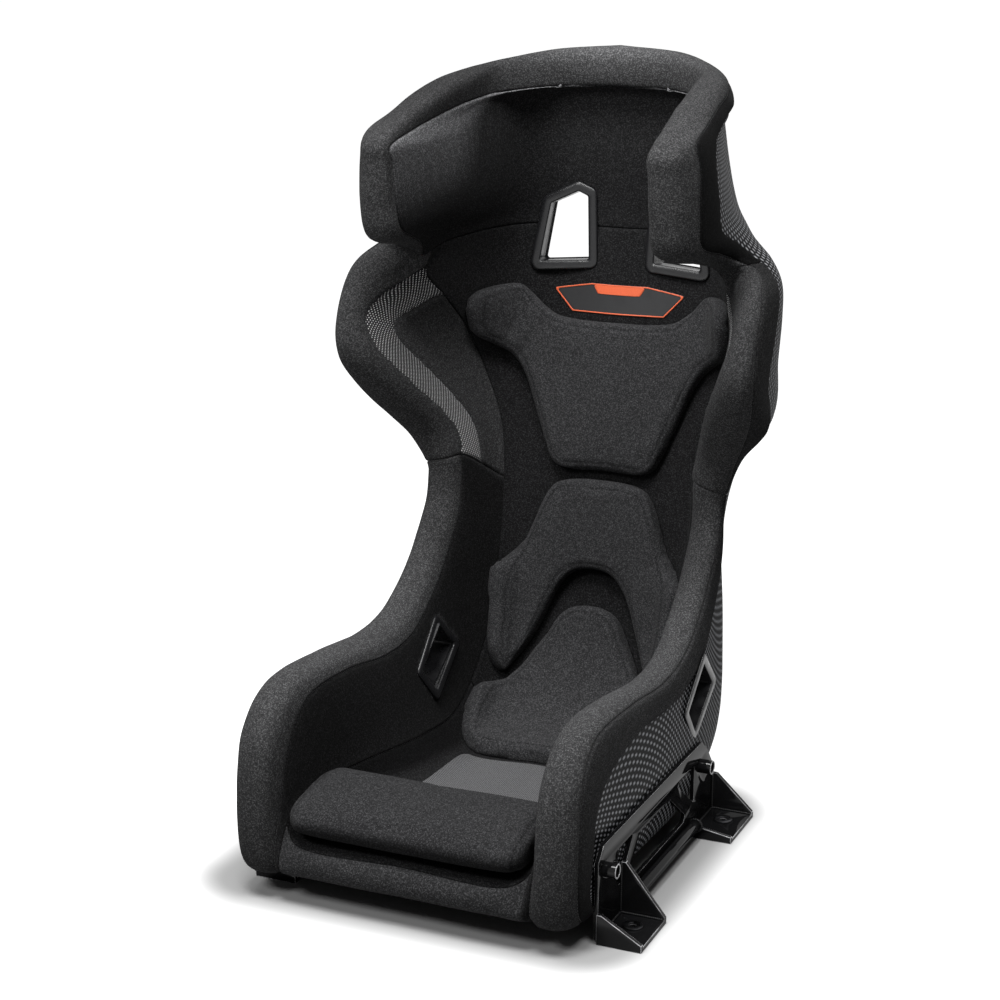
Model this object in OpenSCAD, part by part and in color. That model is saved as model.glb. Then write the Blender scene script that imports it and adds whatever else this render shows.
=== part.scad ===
// Racing bucket seat with a wrap-round head restraint, standing on two bolt-down side brackets.
// Millimetres. +Z is up and the floor is z = 0, -Y is the way the sitter faces, x = 0 is the middle.
// Stations give y from the rear edge of the lap-belt slots; place() moves y = mid_y to the origin.

/* [Shell] */
// Thickness of the carbon shell
shell_t = 4.5; // [3:0.5:6]
// Thickness of the cover where it wraps round the outside of the shell
cover_t = 3; // [2:0.5:4]
// Gap left between parts that lie against each other
gap = 0.4; // [0.2:0.1:0.6]

/* [Pads] */
// Height of the upper back pad above the lining
upper_pad_h = 22; // [12:1:26]
// Height of the lumbar pad above the lining
lumbar_pad_h = 24; // [12:1:28]
// Height of the lower back pad above the lining
lower_pad_h = 24; // [12:1:28]
// Height of the leg cushion at its middle
leg_cushion_h = 48; // [40:1:52]
// Half of the leg cushion's width
leg_cushion_half = 152; // [140:1:152]
// Thickness of the knitted mesh pieces
mesh_t = 2; // [1:0.5:3]

/* [Harness slots] */
// Width of a shoulder slot bezel's flange
shoulder_flange_w = 13; // [10:1:14]
// Width of a lap slot bezel's flange
flange_w = 11; // [8:1:13]
// How far a bezel's flange stands proud
flange_t = 4; // [3:0.5:5]
// Length of the crotch-strap slot across the seat
crotch_slot_w = 84; // [70:1:90]
// Width of the crotch-strap slot front to back
crotch_slot_l = 20; // [16:1:24]

/* [Side brackets] */
// Distance from the middle of the seat to a bracket plate's outer face
plate_x = 225; // [224:1:228]
// Thickness of the bracket plate
plate_t = 5; // [4:0.5:5]
// Height of the bracket plate
plate_h = 114; // [108:1:118]
// Distance from a plate's outer face to the tip of its feet
foot_reach = 55; // [50:1:60]
// Thickness of the foot plates and gussets
foot_t = 6; // [5:0.5:8]
// Front to back distance between the floor bolt holes
floor_pitch = 328; // [320:1:336]
// Diameter of the floor bolt holes
floor_hole_d = 10; // [8.5:0.5:11]
// Front to back distance between the side bolts
side_pitch = 334; // [328:1:338]

/* [Hidden] */
$fn = 48;
mid_y = 70;

// One row per station, from under the front lip, along the thigh rest, up past the waist and the
// shoulder, through the notch, up the front of the head restraint and over its crown.
// In a row, the points go round the right half of the seat's section:
//   0 middle of the lining [y, z]   1 edge of its flat   2 lining seam   3 inner seam of the roll
//   4 and 5 crest of the roll       6 outer seam         7 end of the cover on the outside
//   8 outer wall of the shell       9 lower corner of the shell          10 its middle [y, z]
stations = [
    /* 0 under the lip */ [[-260, 25], [120, -260, 25], [156, -260, 25], [164, -258, 27],
        [175, -264, 23], [198, -260, 23], [212, -246, 28], [218, -224, 34], [208, -222, 30],
        [130, -238, 24], [-238, 23]],
    /* 1 lip */ [[-292, 44], [120, -292, 44], [156, -292, 46], [164, -287, 50], [175, -292, 47],
        [202, -289, 48], [217, -272, 56], [219, -238, 62], [212, -195, 38], [158, -190, 28], [-190, 28]],
    /* 2 front edge */ [[-281, 73], [138, -281, 75], [157, -266, 90], [164, -264, 128],
        [174, -290, 124], [202, -292, 122], [218, -276, 118], [217, -224, 106], [212, -165, 42],
        [166, -150, 31], [-150, 34]],
    /* 3 front corner */ [[-222, 83], [146, -222, 85], [157, -214, 107], [165, -240, 186],
        [174, -273, 200], [203, -276, 203], [217, -263, 194], [216, -211, 152], [212, -130, 43],
        [168, -115, 31], [-115, 36]],
    /* 4 knee */ [[-160, 85], [142, -160, 87], [155, -160, 110], [165, -190, 226], [175, -212, 246],
        [200, -215, 250], [214, -212, 240], [215, -165, 183], [213, -95, 44], [170, -80, 31], [-80, 36]],
    /* 5 thigh */ [[-85, 78], [118, -85, 80], [143, -85, 108], [165, -90, 226], [175, -100, 244],
        [199, -100, 250], [213, -98, 240], [215, -78, 198], [213, -50, 43], [170, -40, 30], [-40, 34]],
    /* 6 low point */ [[-10, 66], [106, -10, 68], [135, -10, 100], [165, 10, 211], [175, 5, 230],
        [199, 5, 238], [213, 8, 230], [216, 20, 194], [213, 0, 41], [170, 10, 28], [10, 30]],
    /* 7 behind the thigh */ [[70, 54], [106, 70, 56], [134, 70, 90], [165, 90, 217], [175, 86, 238],
        [199, 85, 248], [212, 88, 240], [216, 88, 198], [213, 60, 40], [168, 70, 26], [70, 26]],
    /* 8 hip */ [[150, 45], [108, 150, 47], [137, 150, 85], [165, 158, 258], [175, 150, 278],
        [199, 146, 286], [211, 150, 276], [215, 155, 220], [212, 140, 48], [158, 150, 25], [150, 22]],
    /* 9 hip, rear */ [[232, 66], [108, 228, 72], [138, 214, 112], [165, 205, 306], [175, 194, 322],
        [199, 188, 330], [210, 192, 318], [211, 208, 270], [208, 230, 90], [134, 262, 44], [262, 36]],
    /* 10 loin */ [[296, 150], [106, 290, 155], [134, 272, 190], [165, 236, 352], [175, 224, 362],
        [199, 218, 368], [210, 222, 358], [208, 240, 320], [199, 262, 180], [128, 304, 130], [316, 122]],
    /* 11 lumbar */ [[326, 260], [104, 320, 262], [134, 302, 285], [165, 243, 390], [175, 230, 394],
        [200, 224, 396], [210, 230, 390], [204, 250, 365], [192, 278, 290], [127, 331, 250], [350, 246]],
    /* 12 waist */ [[346, 360], [106, 340, 362], [140, 330, 375], [165, 241, 425], [176, 226, 422],
        [202, 222, 416], [213, 231, 412], [206, 258, 406], [193, 295, 378], [128, 355, 352], [372, 350]],
    /* 13 above the waist */ [[364, 448], [112, 358, 450], [152, 346, 453], [176, 232, 470],
        [188, 212, 466], [216, 202, 460], [230, 212, 456], [228, 248, 456], [208, 314, 452],
        [136, 378, 448], [391, 448]],
    /* 14 below the shoulder */ [[380, 530], [126, 372, 532], [176, 338, 533], [208, 165, 538],
        [222, 146, 532], [250, 142, 524], [264, 156, 518], [271, 220, 508], [245, 316, 526],
        [140, 398, 532], [408, 532]],
    /* 15 shoulder */ [[391, 590], [138, 380, 591], [189, 312, 586], [238, 122, 594],
        [248, 106, 588], [271, 102, 578], [280, 118, 574], [280, 184, 576], [258, 288, 588],
        [148, 408, 592], [421, 592]],
    /* 16 shoulder, high */ [[399, 642], [144, 385, 643], [200, 262, 637], [248, 130, 634],
        [258, 112, 636], [275, 106, 632], [283, 118, 630], [284, 194, 638], [264, 280, 644],
        [154, 414, 644], [430, 642]],
    /* 17 shoulder crest */ [[404, 682], [142, 390, 682], [208, 228, 670], [234, 176, 662],
        [246, 156, 676], [269, 143, 689], [279, 150, 685], [282, 208, 682], [260, 286, 684],
        [152, 418, 684], [434, 682]],
    /* 18 ridge */ [[407, 708], [138, 392, 708], [200, 240, 694], [214, 215, 680], [224, 200, 696],
        [246, 186, 708], [259, 188, 712], [266, 220, 708], [246, 288, 712], [150, 418, 710], [435, 708]],
    /* 19 notch */ [[409, 728], [134, 394, 729], [184, 258, 724], [198, 196, 712], [208, 182, 712],
        [224, 176, 716], [234, 186, 722], [244, 216, 726], [226, 288, 732], [148, 417, 730], [435, 728]],
    /* 20 under the wing */ [[410, 744], [130, 394, 745], [168, 272, 744], [184, 140, 732],
        [194, 128, 726], [214, 132, 726], [226, 150, 734], [233, 196, 742], [216, 282, 748],
        [144, 416, 746], [434, 744]],
    /* 21 foot of the wing */ [[410, 766], [126, 392, 767], [156, 285, 768], [168, 76, 752],
        [175, 60, 742], [204, 60, 742], [222, 86, 752], [228, 146, 764], [205, 272, 768],
        [140, 413, 768], [433, 766]],
    /* 22 wing, low */ [[409, 795], [124, 390, 796], [152, 292, 797], [167, 60, 786], [174, 43, 785],
        [202, 44, 785], [223, 74, 796], [226, 138, 800], [198, 264, 798], [136, 409, 797], [430, 796]],
    /* 23 wing, high */ [[406, 830], [122, 386, 831], [150, 300, 832], [167, 52, 832],
        [174, 36, 836], [200, 40, 836], [221, 76, 842], [221, 138, 838], [193, 258, 834],
        [131, 405, 832], [426, 830]],
    /* 24 corner of the wing */ [[403, 858], [122, 382, 859], [149, 304, 860], [166, 46, 857],
        [172, 40, 864], [197, 42, 863], [214, 80, 872], [217, 146, 866], [190, 258, 862],
        [128, 400, 860], [422, 862]],
    /* 25 top of the wing */ [[400, 874], [122, 378, 875], [148, 306, 876], [164, 100, 871],
        [168, 100, 888], [194, 101, 888], [210, 130, 888], [213, 168, 878], [187, 264, 880],
        [126, 397, 878], [419, 880]],
    /* 26 */ [[397, 886], [120, 374, 887], [146, 310, 888], [160, 172, 884], [160, 173, 909],
        [194, 175, 912], [203, 190, 904], [206, 218, 892], [188, 276, 892], [122, 393, 892], [416, 896]],
    /* 27 */ [[393, 896], [116, 370, 897], [143, 314, 897], [152, 244, 896], [153, 249, 927],
        [184, 251, 929], [192, 262, 917], [195, 276, 902], [173, 302, 902], [113, 382, 906], [405, 910]],
    /* 28 rear corner */ [[387, 904], [104, 364, 905], [128, 334, 905], [137, 310, 903],
        [140, 316, 940], [154, 328, 940], [161, 338, 929], [164, 340, 910], [141, 343, 920],
        [96, 378, 929], [399, 932]],
    /* 29 brow */ [[376, 909], [62, 368, 909], [74, 366, 909], [80, 364, 909], [82, 360, 950],
        [88, 378, 955], [92, 392, 946], [94, 398, 922], [78, 385, 941], [51, 391, 942], [396, 943]],
    /* 30 crown */ [[371, 911], [0, 371, 911], [0, 371, 911], [0, 371, 911], [0, 364, 954],
        [0, 386, 962], [0, 404, 952], [0, 410, 926], [0, 396, 943], [0, 396, 943], [396, 943]]
];
last = len(stations) - 1;
columns = len(stations[0]);
lip_u = 2;
hip_u = 9;
waist_u = 12;
ridge_u = 18.5;
brow_u = 29;

// ---------- the seat's surface: u runs along the stations, v round the section ----------

function unit(p) = p / norm(p);
function blend(a, b, t) = a + (b - a) * t;
function clamp(x, low, high) = min(max(x, low), high);
function mirrored(p) = [-p.x, p.y, p.z];
function spatial(p) = len(p) == 2 ? [0, p.x, p.y] : p;
function spline(a, b, c, d, t) = 0.5 * (2 * b + (c - a) * t + (2 * a - 5 * b + 4 * c - d) * t * t
    + (3 * b - a - 3 * c + d) * t * t * t);
// the same kind of curve with its corners weighted by how far apart they lie, so that it never overshoots
function reach(a, b) = sqrt(max(norm(b - a), 0.01));
function even_spline(a, b, c, d, t) = let (
        k = reach(a, b), m = reach(b, c), n = reach(c, d),
        from = m * ((b - a) / k - (c - a) / (k + m)) + (c - b),
        to = m * ((d - c) / n - (d - b) / (m + n)) + (c - b))
    b + t * from + t * t * (3 * (c - b) - 2 * from - to) + t * t * t * (2 * (b - c) + from + to);
function station(i, j) = i < 0 ? 2 * station(0, j) - station(1, j)
    : i > last ? 2 * station(last, j) - station(last - 1, j)
    : spatial(stations[i][j]);

// the section's corner points at any u
function section(u) = let (i = clamp(floor(u), 0, last - 1), t = u - i)
    [for (j = [0 : columns - 1])
        spline(station(i - 1, j), station(i, j), station(i + 1, j), station(i + 2, j), t)];

// a point on a section, with v below 0 on the left half
function on_section(points, v) = let (
        w = abs(v),
        i = clamp(floor(w), 0, columns - 2),
        before = i > 0 ? points[i - 1] : mirrored(points[1]),
        after = i + 2 < columns ? points[i + 2] : mirrored(points[columns - 2]),
        p = even_spline(before, points[i], points[i + 1], after, w - i))
    v < 0 ? mirrored(p) : p;

// the way out of the padding at a point of the surface
function outward(u, v) = let (
        h = 0.05,
        along = on_section(section(min(u + h, last)), v) - on_section(section(max(u - h, 0)), v),
        around = on_section(section(u), v + h) - on_section(section(u), v - h))
    unit(cross(around, along));

function surface_at(u, v, lift = 0) = let (p = on_section(section(u), v))
    lift == 0 ? p : p + lift * outward(u, v);

// ---------- the shell inside the padding: w is 6 at its rim and 10 at its middle ----------

rim_inset = 0.35;
head_y = 200;
function rim(u) = let (s = section(u)) blend(s[6], (s[3] + s[4] + s[5] + s[6]) / 4, rim_inset);
function crown_share(u) = clamp((u - 26) / 3, 0, 1);
// level way in from the shell to the head space
function to_head(p) = unit([-p.x, head_y - p.y, 0]);
function rim_inward(u) = let (s = section(u))
    unit(blend(unit(s[3] - s[6]), to_head(rim(u)), crown_share(u)));
function shell_outside(u, v) = let (w = abs(v), s = section(u), side = v < 0 ? -1 : 1,
        edge = blend(surface_at(u, 7, -cover_t), (s[8] + rim(u)) / 2, crown_share(u)),
        p = w <= 7 ? blend(rim(u), edge, w - 6)
            : w < 8 ? blend(edge, s[8], w - 7) + (surface_at(u, w) - blend(s[7], s[8], w - 7))
                * (1 - crown_share(u))
            : surface_at(u, w))
    [p.x * side, p.y, p.z];
function shell_inside(u, v, lift = 0) = let (w = abs(v), side = v < 0 ? -1 : 1,
        p = shell_outside(u, w),
        wall = blend(-outward(u, max(w, 7.2)), to_head(p), crown_share(u)),
        q = p + (shell_t + lift) * unit(blend(rim_inward(u), wall, min(w - 6, 1))))
    [q.x * side, q.y, q.z];

// the same two surfaces as flat-sided nets with a knot every half step, the way the solids have them
net = 0.5;
function knot(a) = floor(a / net) * net;
function on_net(u, v, lift = 0) = let (a = knot(u), b = knot(v), t = (u - a) / net, k = (v - b) / net)
    blend(blend(surface_at(a, b, lift), surface_at(a, b + net, lift), k),
        blend(surface_at(a + net, b, lift), surface_at(a + net, b + net, lift), k), t);
function shell_net(u, v, lift = 0) = let (b = knot(v))
    blend(shell_inside(u, b, lift), shell_inside(u, b + net, lift), (v - b) / net);
function knots(from, to) = [from, for (i = [ceil(from / net + 0.1) : floor(to / net - 0.1)]) i * net, to];

// the face of a roll of padding that lies on the shell, paired with v from 2 to 7 on the cover
function roll_core(u, v) = let (
        s = section(u),
        k = rim(u),
        e = rim_inward(u),
        crest = (s[4] + s[5]) / 2 - k,
        over = unit(crest - (crest * e) * e),
        low = u > brow_u ? k + (shell_t + 2 * gap) * e : shell_inside(u, 7.5, gap),
        p = [shell_inside(min(u, brow_u), 8.5, gap), low, k + (shell_t + gap) * e + over,
            k + 2 * over, k - gap * e, surface_at(u, 7, gap - cover_t)],
        i = clamp(floor(v) - 2, 0, 4))
    blend(p[i], p[i + 1], v - 2 - i);

// the face of the lining that lies on the shell, paired with v on the cover
function lining_core(u, v) = let (w = abs(v), side = v < 0 ? -1 : 1)
    shell_net(u, side * (10 - (w < 2 ? 0.75 * w : 1.5 + (w - 2))), gap);

// ---------- solids ----------

// closed solid between two grids of points that have the same rows and columns
module slab(front, back) {
    rows = len(front);
    cols = len(front[0]);
    count = rows * cols;
    function f(i, j) = i * cols + j;
    function b(i, j) = count + i * cols + j;
    points = [for (r = front) each r, for (r = back) each r];
    // four corners clockwise from outside, split along the shorter diagonal
    function square(a, b, c, d) = norm(points[a] - points[c]) < norm(points[b] - points[d]) - 0.001
        ? [[a, b, c], [a, c, d]] : [[b, c, d], [b, d, a]];
    polyhedron(
        points = points,
        faces = [
            for (i = [0 : rows - 2], j = [0 : cols - 2]) each concat(
                square(f(i, j), f(i + 1, j), f(i + 1, j + 1), f(i, j + 1)),
                square(b(i, j), b(i, j + 1), b(i + 1, j + 1), b(i + 1, j))),
            for (i = [0 : rows - 2]) each concat(
                square(f(i, 0), b(i, 0), b(i + 1, 0), f(i + 1, 0)),
                square(f(i, cols - 1), f(i + 1, cols - 1), b(i + 1, cols - 1), b(i, cols - 1))),
            for (j = [0 : cols - 2]) each concat(
                square(f(0, j), f(0, j + 1), b(0, j + 1), b(0, j)),
                square(f(rows - 1, j), b(rows - 1, j), b(rows - 1, j + 1), f(rows - 1, j + 1)))
        ],
        convexity = 10);
}

// closed solid through rings of points, with a fan over its first and last ring
module skin(rings) {
    rows = len(rings);
    cols = len(rings[0]);
    count = rows * cols;
    function mean(ring) = [for (k = [0 : 2]) let (c = [for (p = ring) p[k]]) c * [for (p = ring) 1] / cols];
    function r(i, j) = i * cols + (j + cols) % cols;
    polyhedron(
        points = [for (ring = rings) each ring, mean(rings[0]), mean(rings[rows - 1])],
        faces = [
            for (i = [0 : rows - 2], j = [0 : cols - 1]) each [
                [r(i, j), r(i, j + 1), r(i + 1, j + 1)], [r(i, j), r(i + 1, j + 1), r(i + 1, j)]],
            for (j = [0 : cols - 1]) each [
                [count, r(0, j + 1), r(0, j)],
                [count + 1, r(rows - 1, j), r(rows - 1, j + 1)]]
        ],
        convexity = 10);
}

function steps(from, to, count) = [for (i = [0 : count]) from + (to - from) * i / count];
module place() {
    translate([0, -mid_y, 0]) children();
}
module both_ways() {
    children();
    mirror([1, 0, 0]) children();
}

// ---------- shell ----------

module shell() {
    rows = knots(0, brow_u);
    half = knots(6, 9.5);
    around = concat(half, [10], [for (i = [len(half) - 1 : -1 : 0]) -half[i]]);
    color("#26272a") place() difference() {
        slab([for (u = rows) [for (w = around) shell_inside(u, w)]],
            [for (u = rows) [for (w = around) shell_outside(u, w)]]);
        both_ways() {
            shoulder_hole();
            at_rear_slot() translate([0, 0, -gap]) linear_extrude(30)
                offset(delta = gap) polygon(shoulder_slot);
            lap_hole();
            at_lap_slot(lap_outer_x - gap) linear_extrude(30) offset(delta = gap) polygon(lap_slot);
            side_bolt_places() translate([0, 0, insert_x]) cylinder(d = insert_d + 2 * gap, h = 40);
        }
        crotch_hole(3 + gap);
    }
}

// ---------- lining ----------

// half of the opening between two pieces of cover, as a share of a step
seam = 0.02;
module lining(from, to, half) {
    rows = knots(from + seam, to - seam);
    across = knots(-half + seam, half - seam);
    slab([for (u = rows) [for (v = across) surface_at(u, v)]],
        [for (u = rows) [for (v = across) lining_core(u, v)]]);
}
module front_lip() {
    color("#1c1c1e") place() lining(0, lip_u, 2);
}
module seat_lining() {
    color("#1c1c1e") place() difference() {
        lining(lip_u, hip_u, 2);
        crotch_hole(3 + gap);
        crotch_recess();
    }
}
module back_lining() {
    color("#1c1c1e") place() difference() {
        lining(hip_u, ridge_u, 2);
        shoulder_room();
    }
}
module head_lining() {
    color("#1c1c1e") place() difference() {
        lining(ridge_u, brow_u, 3);
        shoulder_room();
    }
}

// ---------- rolls of padding round the shell's edge ----------

module roll(from, to) {
    rows = knots(from + seam, to - seam);
    across = knots(2 + seam, 7);
    slab([for (u = rows) [for (v = across) surface_at(u, v)]],
        [for (u = rows) [for (v = across) roll_core(u, v)]]);
}
module thigh_bolster_right() {
    color("#202022") place() difference() {
        roll(0, waist_u);
        lap_hole();
        at_lap_wall() translate([0, 0, -40]) linear_extrude(40 + gap) offset(delta = gap) polygon(lap_slot);
        at_lap_slot(lap_outer_x - gap) linear_extrude(30) offset(delta = gap) polygon(lap_slot);
        side_bolt_places() translate([0, 0, insert_x - 2]) cylinder(d = insert_d + 4, h = 40);
    }
}
module thigh_bolster_left() {
    mirror([1, 0, 0]) thigh_bolster_right();
}
module shoulder_bolster_right() {
    color("#202022") place() roll(waist_u, ridge_u);
}
module shoulder_bolster_left() {
    mirror([1, 0, 0]) shoulder_bolster_right();
}

// the head restraint's roll runs up one wing, over the crown and down the other wing
module halo_cover() {
    left = knots(ridge_u + seam, last);
    right = [for (i = [len(left) - 2 : -1 : 0]) left[i]];
    across = knots(3 + seam, 7);
    color("#202022") place() slab(
        concat([for (u = left) [for (v = across) mirrored(surface_at(u, v))]],
            [for (u = right) [for (v = across) surface_at(u, v)]]),
        concat([for (u = left) [for (v = across) mirrored(roll_core(u, v))]],
            [for (u = right) [for (v = across) roll_core(u, v)]]));
}

// ---------- mesh pieces ----------

// inner and outer edge of the shoulder mesh as [u, v] on the surface, from the waist upward
mesh_edges = [
    [[12.1, 2.5], [12.1, 2.98]], [[13, 2.55], [13, 2.98]], [[14, 2.62], [14, 2.98]],
    [[14.8, 2.66], [14.9, 2.98]], [[15.3, 2.64], [15.7, 2.98]], [[15.55, 2.55], [16.6, 2.94]],
    [[15.75, 2.35], [17.1, 2.8]], [[15.95, 2.15], [17.3, 2.45]], [[16, 2.06], [17.3, 2.08]]
];
module shoulder_mesh_right() {
    rows = [for (e = mesh_edges) [for (t = [0, 0.5, 1]) blend(e[0], e[1], t)]];
    color("#4a4b4e") place() slab(
        [for (r = rows) [for (p = r) on_net(p.x, p.y, 3 * gap + mesh_t)]],
        [for (r = rows) [for (p = r) on_net(p.x, p.y, 3 * gap)]]);
}
module shoulder_mesh_left() {
    mirror([1, 0, 0]) shoulder_mesh_right();
}

// ---------- places on the lining ----------

// distance along the middle of the lining, from the hip, against u
run_u = steps(3, 19, 64);
run_points = [for (u = run_u) section(u)[0]];
run_sums = [for (i = 0, s = 0; i < len(run_u); s = s + (i + 1 < len(run_u)
    ? norm(run_points[i + 1] - run_points[i]) : 0), i = i + 1) s];
hip_run = lookup(8, [for (i = [0 : len(run_u) - 1]) [run_u[i], run_sums[i]]]);
run_table = [for (i = [0 : len(run_u) - 1]) [run_sums[i] - hip_run, run_u[i]]];
function u_at(run) = lookup(run, run_table);
function v_at(u, x) = let (s = section(u), a = abs(x))
    (x < 0 ? -1 : 1) * lookup(a, [[0, 0], [s[1].x, 1], [s[2].x, 2], [s[3].x, 3]]);
function on_lining(p, lift) = let (u = u_at(p.y)) on_net(u, v_at(u, p.x), lift);
function whole(half) = concat(half, [for (i = [len(half) - 2 : -1 : 1]) [-half[i].x, half[i].y]]);

// crowned pad: its rings shrink towards the middle of its outline while they rise
pad_profile = [[0.5, 0], [0.96, 0], [1, 0.42], [0.985, 0.78], [0.93, 0.97], [0.72, 1.05], [0.36, 1.1]];
module pad(half, middle, height, profile = pad_profile) {
    outline = whole(half);
    skin([for (k = profile) [for (p = outline)
        on_lining(middle + k[0] * (p - middle), gap + k[1] * height)]]);
}

// outlines as [x, distance up the lining from the hip], right half from the top middle down
upper_outline = [[0, 645], [54, 645], [82, 650], [108, 668], [134, 688], [160, 693], [182, 688],
    [189, 664], [186, 630], [166, 610], [140, 590], [120, 556], [94, 500], [74, 456], [58, 443], [0, 443]];
lower_outline = [[0, 255], [26, 251], [42, 236], [54, 212], [68, 186], [84, 156], [106, 132],
    [132, 98], [138, 60], [132, 20], [118, -8], [96, -18], [0, -22]];
module upper_back_pad() {
    color("#2b2b2e") place() pad(upper_outline, [0, 570], upper_pad_h);
}
module lower_back_pad() {
    color("#2b2b2e") place() pad(lower_outline, [0, 110], lower_pad_h);
}

// outer and inner edge of the lumbar pad as [x, distance], from its middle to the end of a leg
lumbar_edges = [
    [[0, 428], [0, 306]], [[36, 428], [16, 305]], [[60, 422], [31, 298]], [[78, 396], [44, 282]],
    [[94, 358], [54, 258]], [[112, 324], [62, 234]], [[132, 288], [72, 208]], [[140, 250], [82, 188]],
    [[140, 205], [92, 170]], [[137, 165], [106, 150]], [[132, 142], [114, 136]]
];
module lumbar_pad() {
    profile = [[0.3, 0], [0.02, 0], [0, 0.45], [0.05, 0.85], [0.25, 1.02], [0.5, 1.06], [0.75, 1.02],
        [0.95, 0.85], [1, 0.45], [0.98, 0], [0.7, 0]];
    right = [for (i = [1 : len(lumbar_edges) - 1]) lumbar_edges[i]];
    left = [for (i = [len(lumbar_edges) - 1 : -1 : 0])
        [for (p = lumbar_edges[i]) [-p.x, p.y]]];
    color("#2b2b2e") place() skin([for (e = concat(left, right)) [for (k = profile)
        on_lining(blend(e[0], e[1], k[0]), gap + k[1] * lumbar_pad_h)]]);
}

// flat knitted mat behind the leg cushion
module seat_mesh() {
    rows = [[-238, 81], [-200, 84], [-140, 92], [-80, 100], [-46, 104], [-30, 100]];
    color("#5a5b5e") place() slab(
        [for (r = rows) [for (k = steps(-1, 1, 4)) on_lining([k * r[1], r[0]], gap + mesh_t)]],
        [for (r = rows) [for (k = steps(-1, 1, 4)) on_lining([k * r[1], r[0]], gap)]]);
}

// roll under the knees: [y, height over its base] round its section, drawn in towards both ends
leg_profile = [[-250, 0], [-274, 2], [-289, 8], [-293, 16], [-287, 25], [-270, 32], [-242, 37], [-206, 40],
    [-176, 39], [-158, 33], [-150, 20], [-156, 8], [-204, 4]];
leg_base = 85;
profile_h = 40;
module leg_cushion() {
    heart = [-212, 19];
    ends = [[1, 0.62], [0.994, 0.8], [0.975, 0.92], [0.94, 0.98], [0.85, 1], [0.45, 1], [0, 1]];
    rings = concat([for (e = ends) [-e[0], e[1]]], [for (i = [len(ends) - 2 : -1 : 0]) ends[i]]);
    color("#222224") place() skin([for (e = rings) [for (p = leg_profile)
        let (q = heart + e[1] * (p - heart))
        [e[0] * leg_cushion_half, q.x, leg_base + q.y * leg_cushion_h / profile_h]]]);
}

module badge() {
    half = [[0, 696], [38, 696], [89, 686], [62, 655], [0, 655]];
    color("#151516") place() pad(half, [0, 672], 1.6, [[0.5, 0], [1, 0], [1, 1], [0.5, 1]]);
}

// ---------- harness slots ----------

shoulder_slot = [[34, 662], [133, 655], [114, 757], [64, 780], [38, 768]];
slot_middle = [82, 716];
front_slot_y = 403;
rear_slot_y = 427;
slot_yaw = -6;
front_lean = 3.6;
lap_slot = [[146, 228], [198, 174], [114, 116], [74, 168]];
lap_middle = [133, 171];
lap_lean = 10;
lap_yaw = 2.5;
lap_inner_x = 152;
lap_outer_x = 217.5;
crotch_y = -112;

module rounded(points, inset, radius) {
    offset(r = radius) offset(delta = -inset - radius) polygon(points);
}
// children stand on the lining at the right shoulder slot, with +Z towards the sitter
module at_front_slot() {
    translate([slot_middle.x, front_slot_y, slot_middle.y]) rotate([0, 0, slot_yaw])
        rotate([-front_lean, 0, 0]) rotate([90, 0, 0])
            translate([-slot_middle.x, -slot_middle.y, 0]) children();
}
// children stand on the back of the shell behind it, with +Z away from the sitter and +X still +X
module at_rear_slot() {
    translate([slot_middle.x, rear_slot_y, slot_middle.y]) rotate([0, 0, slot_yaw])
        mirror([0, 1, 0]) rotate([90, 0, 0]) translate([-slot_middle.x, -slot_middle.y, 0]) children();
}
// children stand on the side wall's outside at the right lap slot: local x is y and local y is z
module at_lap_slot(x) {
    translate([x, 0, 0]) rotate([90, 0, 90]) children();
}
// children stand on the same wall's lining, +Z still towards +X
module at_lap_wall() {
    translate([lap_inner_x, lap_middle.x, lap_middle.y]) rotate([0, 0, lap_yaw]) rotate([0, lap_lean, 0])
        rotate([90, 0, 90]) translate([-lap_middle.x, -lap_middle.y, 0]) children();
}
module shoulder_hole() {
    at_front_slot() translate([0, 0, -60]) linear_extrude(90)
        offset(delta = tube_t + gap - shoulder_flange_w) polygon(shoulder_slot);
}
// room in the linings for both shoulder bezels
module shoulder_room() {
    both_ways() {
        shoulder_hole();
        at_front_slot() linear_extrude(30) offset(delta = gap) polygon(shoulder_slot);
    }
}
module lap_hole() {
    at_lap_slot(100) linear_extrude(160) offset(delta = tube_t + gap - flange_w) polygon(lap_slot);
}
module crotch_hole(room) {
    translate([0, crotch_y, 60])
        cube([crotch_slot_w + 2 * room, crotch_slot_l + 2 * room, 90], center = true);
}
tube_t = 3;
// flat ring round a slot, its opening wide inside the bezel's outline
module slot_ring(points, wall, height, wide = flange_w, radius = 6) {
    linear_extrude(height) difference() {
        rounded(points, wide - wall, min(wall, radius));
        rounded(points, wide, 4);
    }
}
module shoulder_bezel_right() {
    color("#101011") place() at_front_slot() {
        translate([0, 0, gap]) slot_ring(shoulder_slot, shoulder_flange_w, flange_t, shoulder_flange_w, 12);
        translate([0, 0, -12]) slot_ring(shoulder_slot, tube_t, 12 + gap, shoulder_flange_w);
    }
}
module shoulder_bezel_left() {
    mirror([1, 0, 0]) shoulder_bezel_right();
}
module rear_bezel_right() {
    color("#101011") place() {
        at_rear_slot() slot_ring(shoulder_slot, shoulder_flange_w, 3.5, shoulder_flange_w, 12);
        at_front_slot() translate([0, 0, -24]) slot_ring(shoulder_slot, tube_t, 12 - gap, shoulder_flange_w);
    }
}
module rear_bezel_left() {
    mirror([1, 0, 0]) rear_bezel_right();
}
module lap_bezel_right() {
    color("#101011") place() {
        at_lap_wall() translate([0, 0, -flange_t]) slot_ring(lap_slot, flange_w, flange_t);
        at_lap_slot(lap_inner_x) slot_ring(lap_slot, tube_t, 32);
    }
}
module lap_bezel_left() {
    mirror([1, 0, 0]) lap_bezel_right();
}
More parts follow.
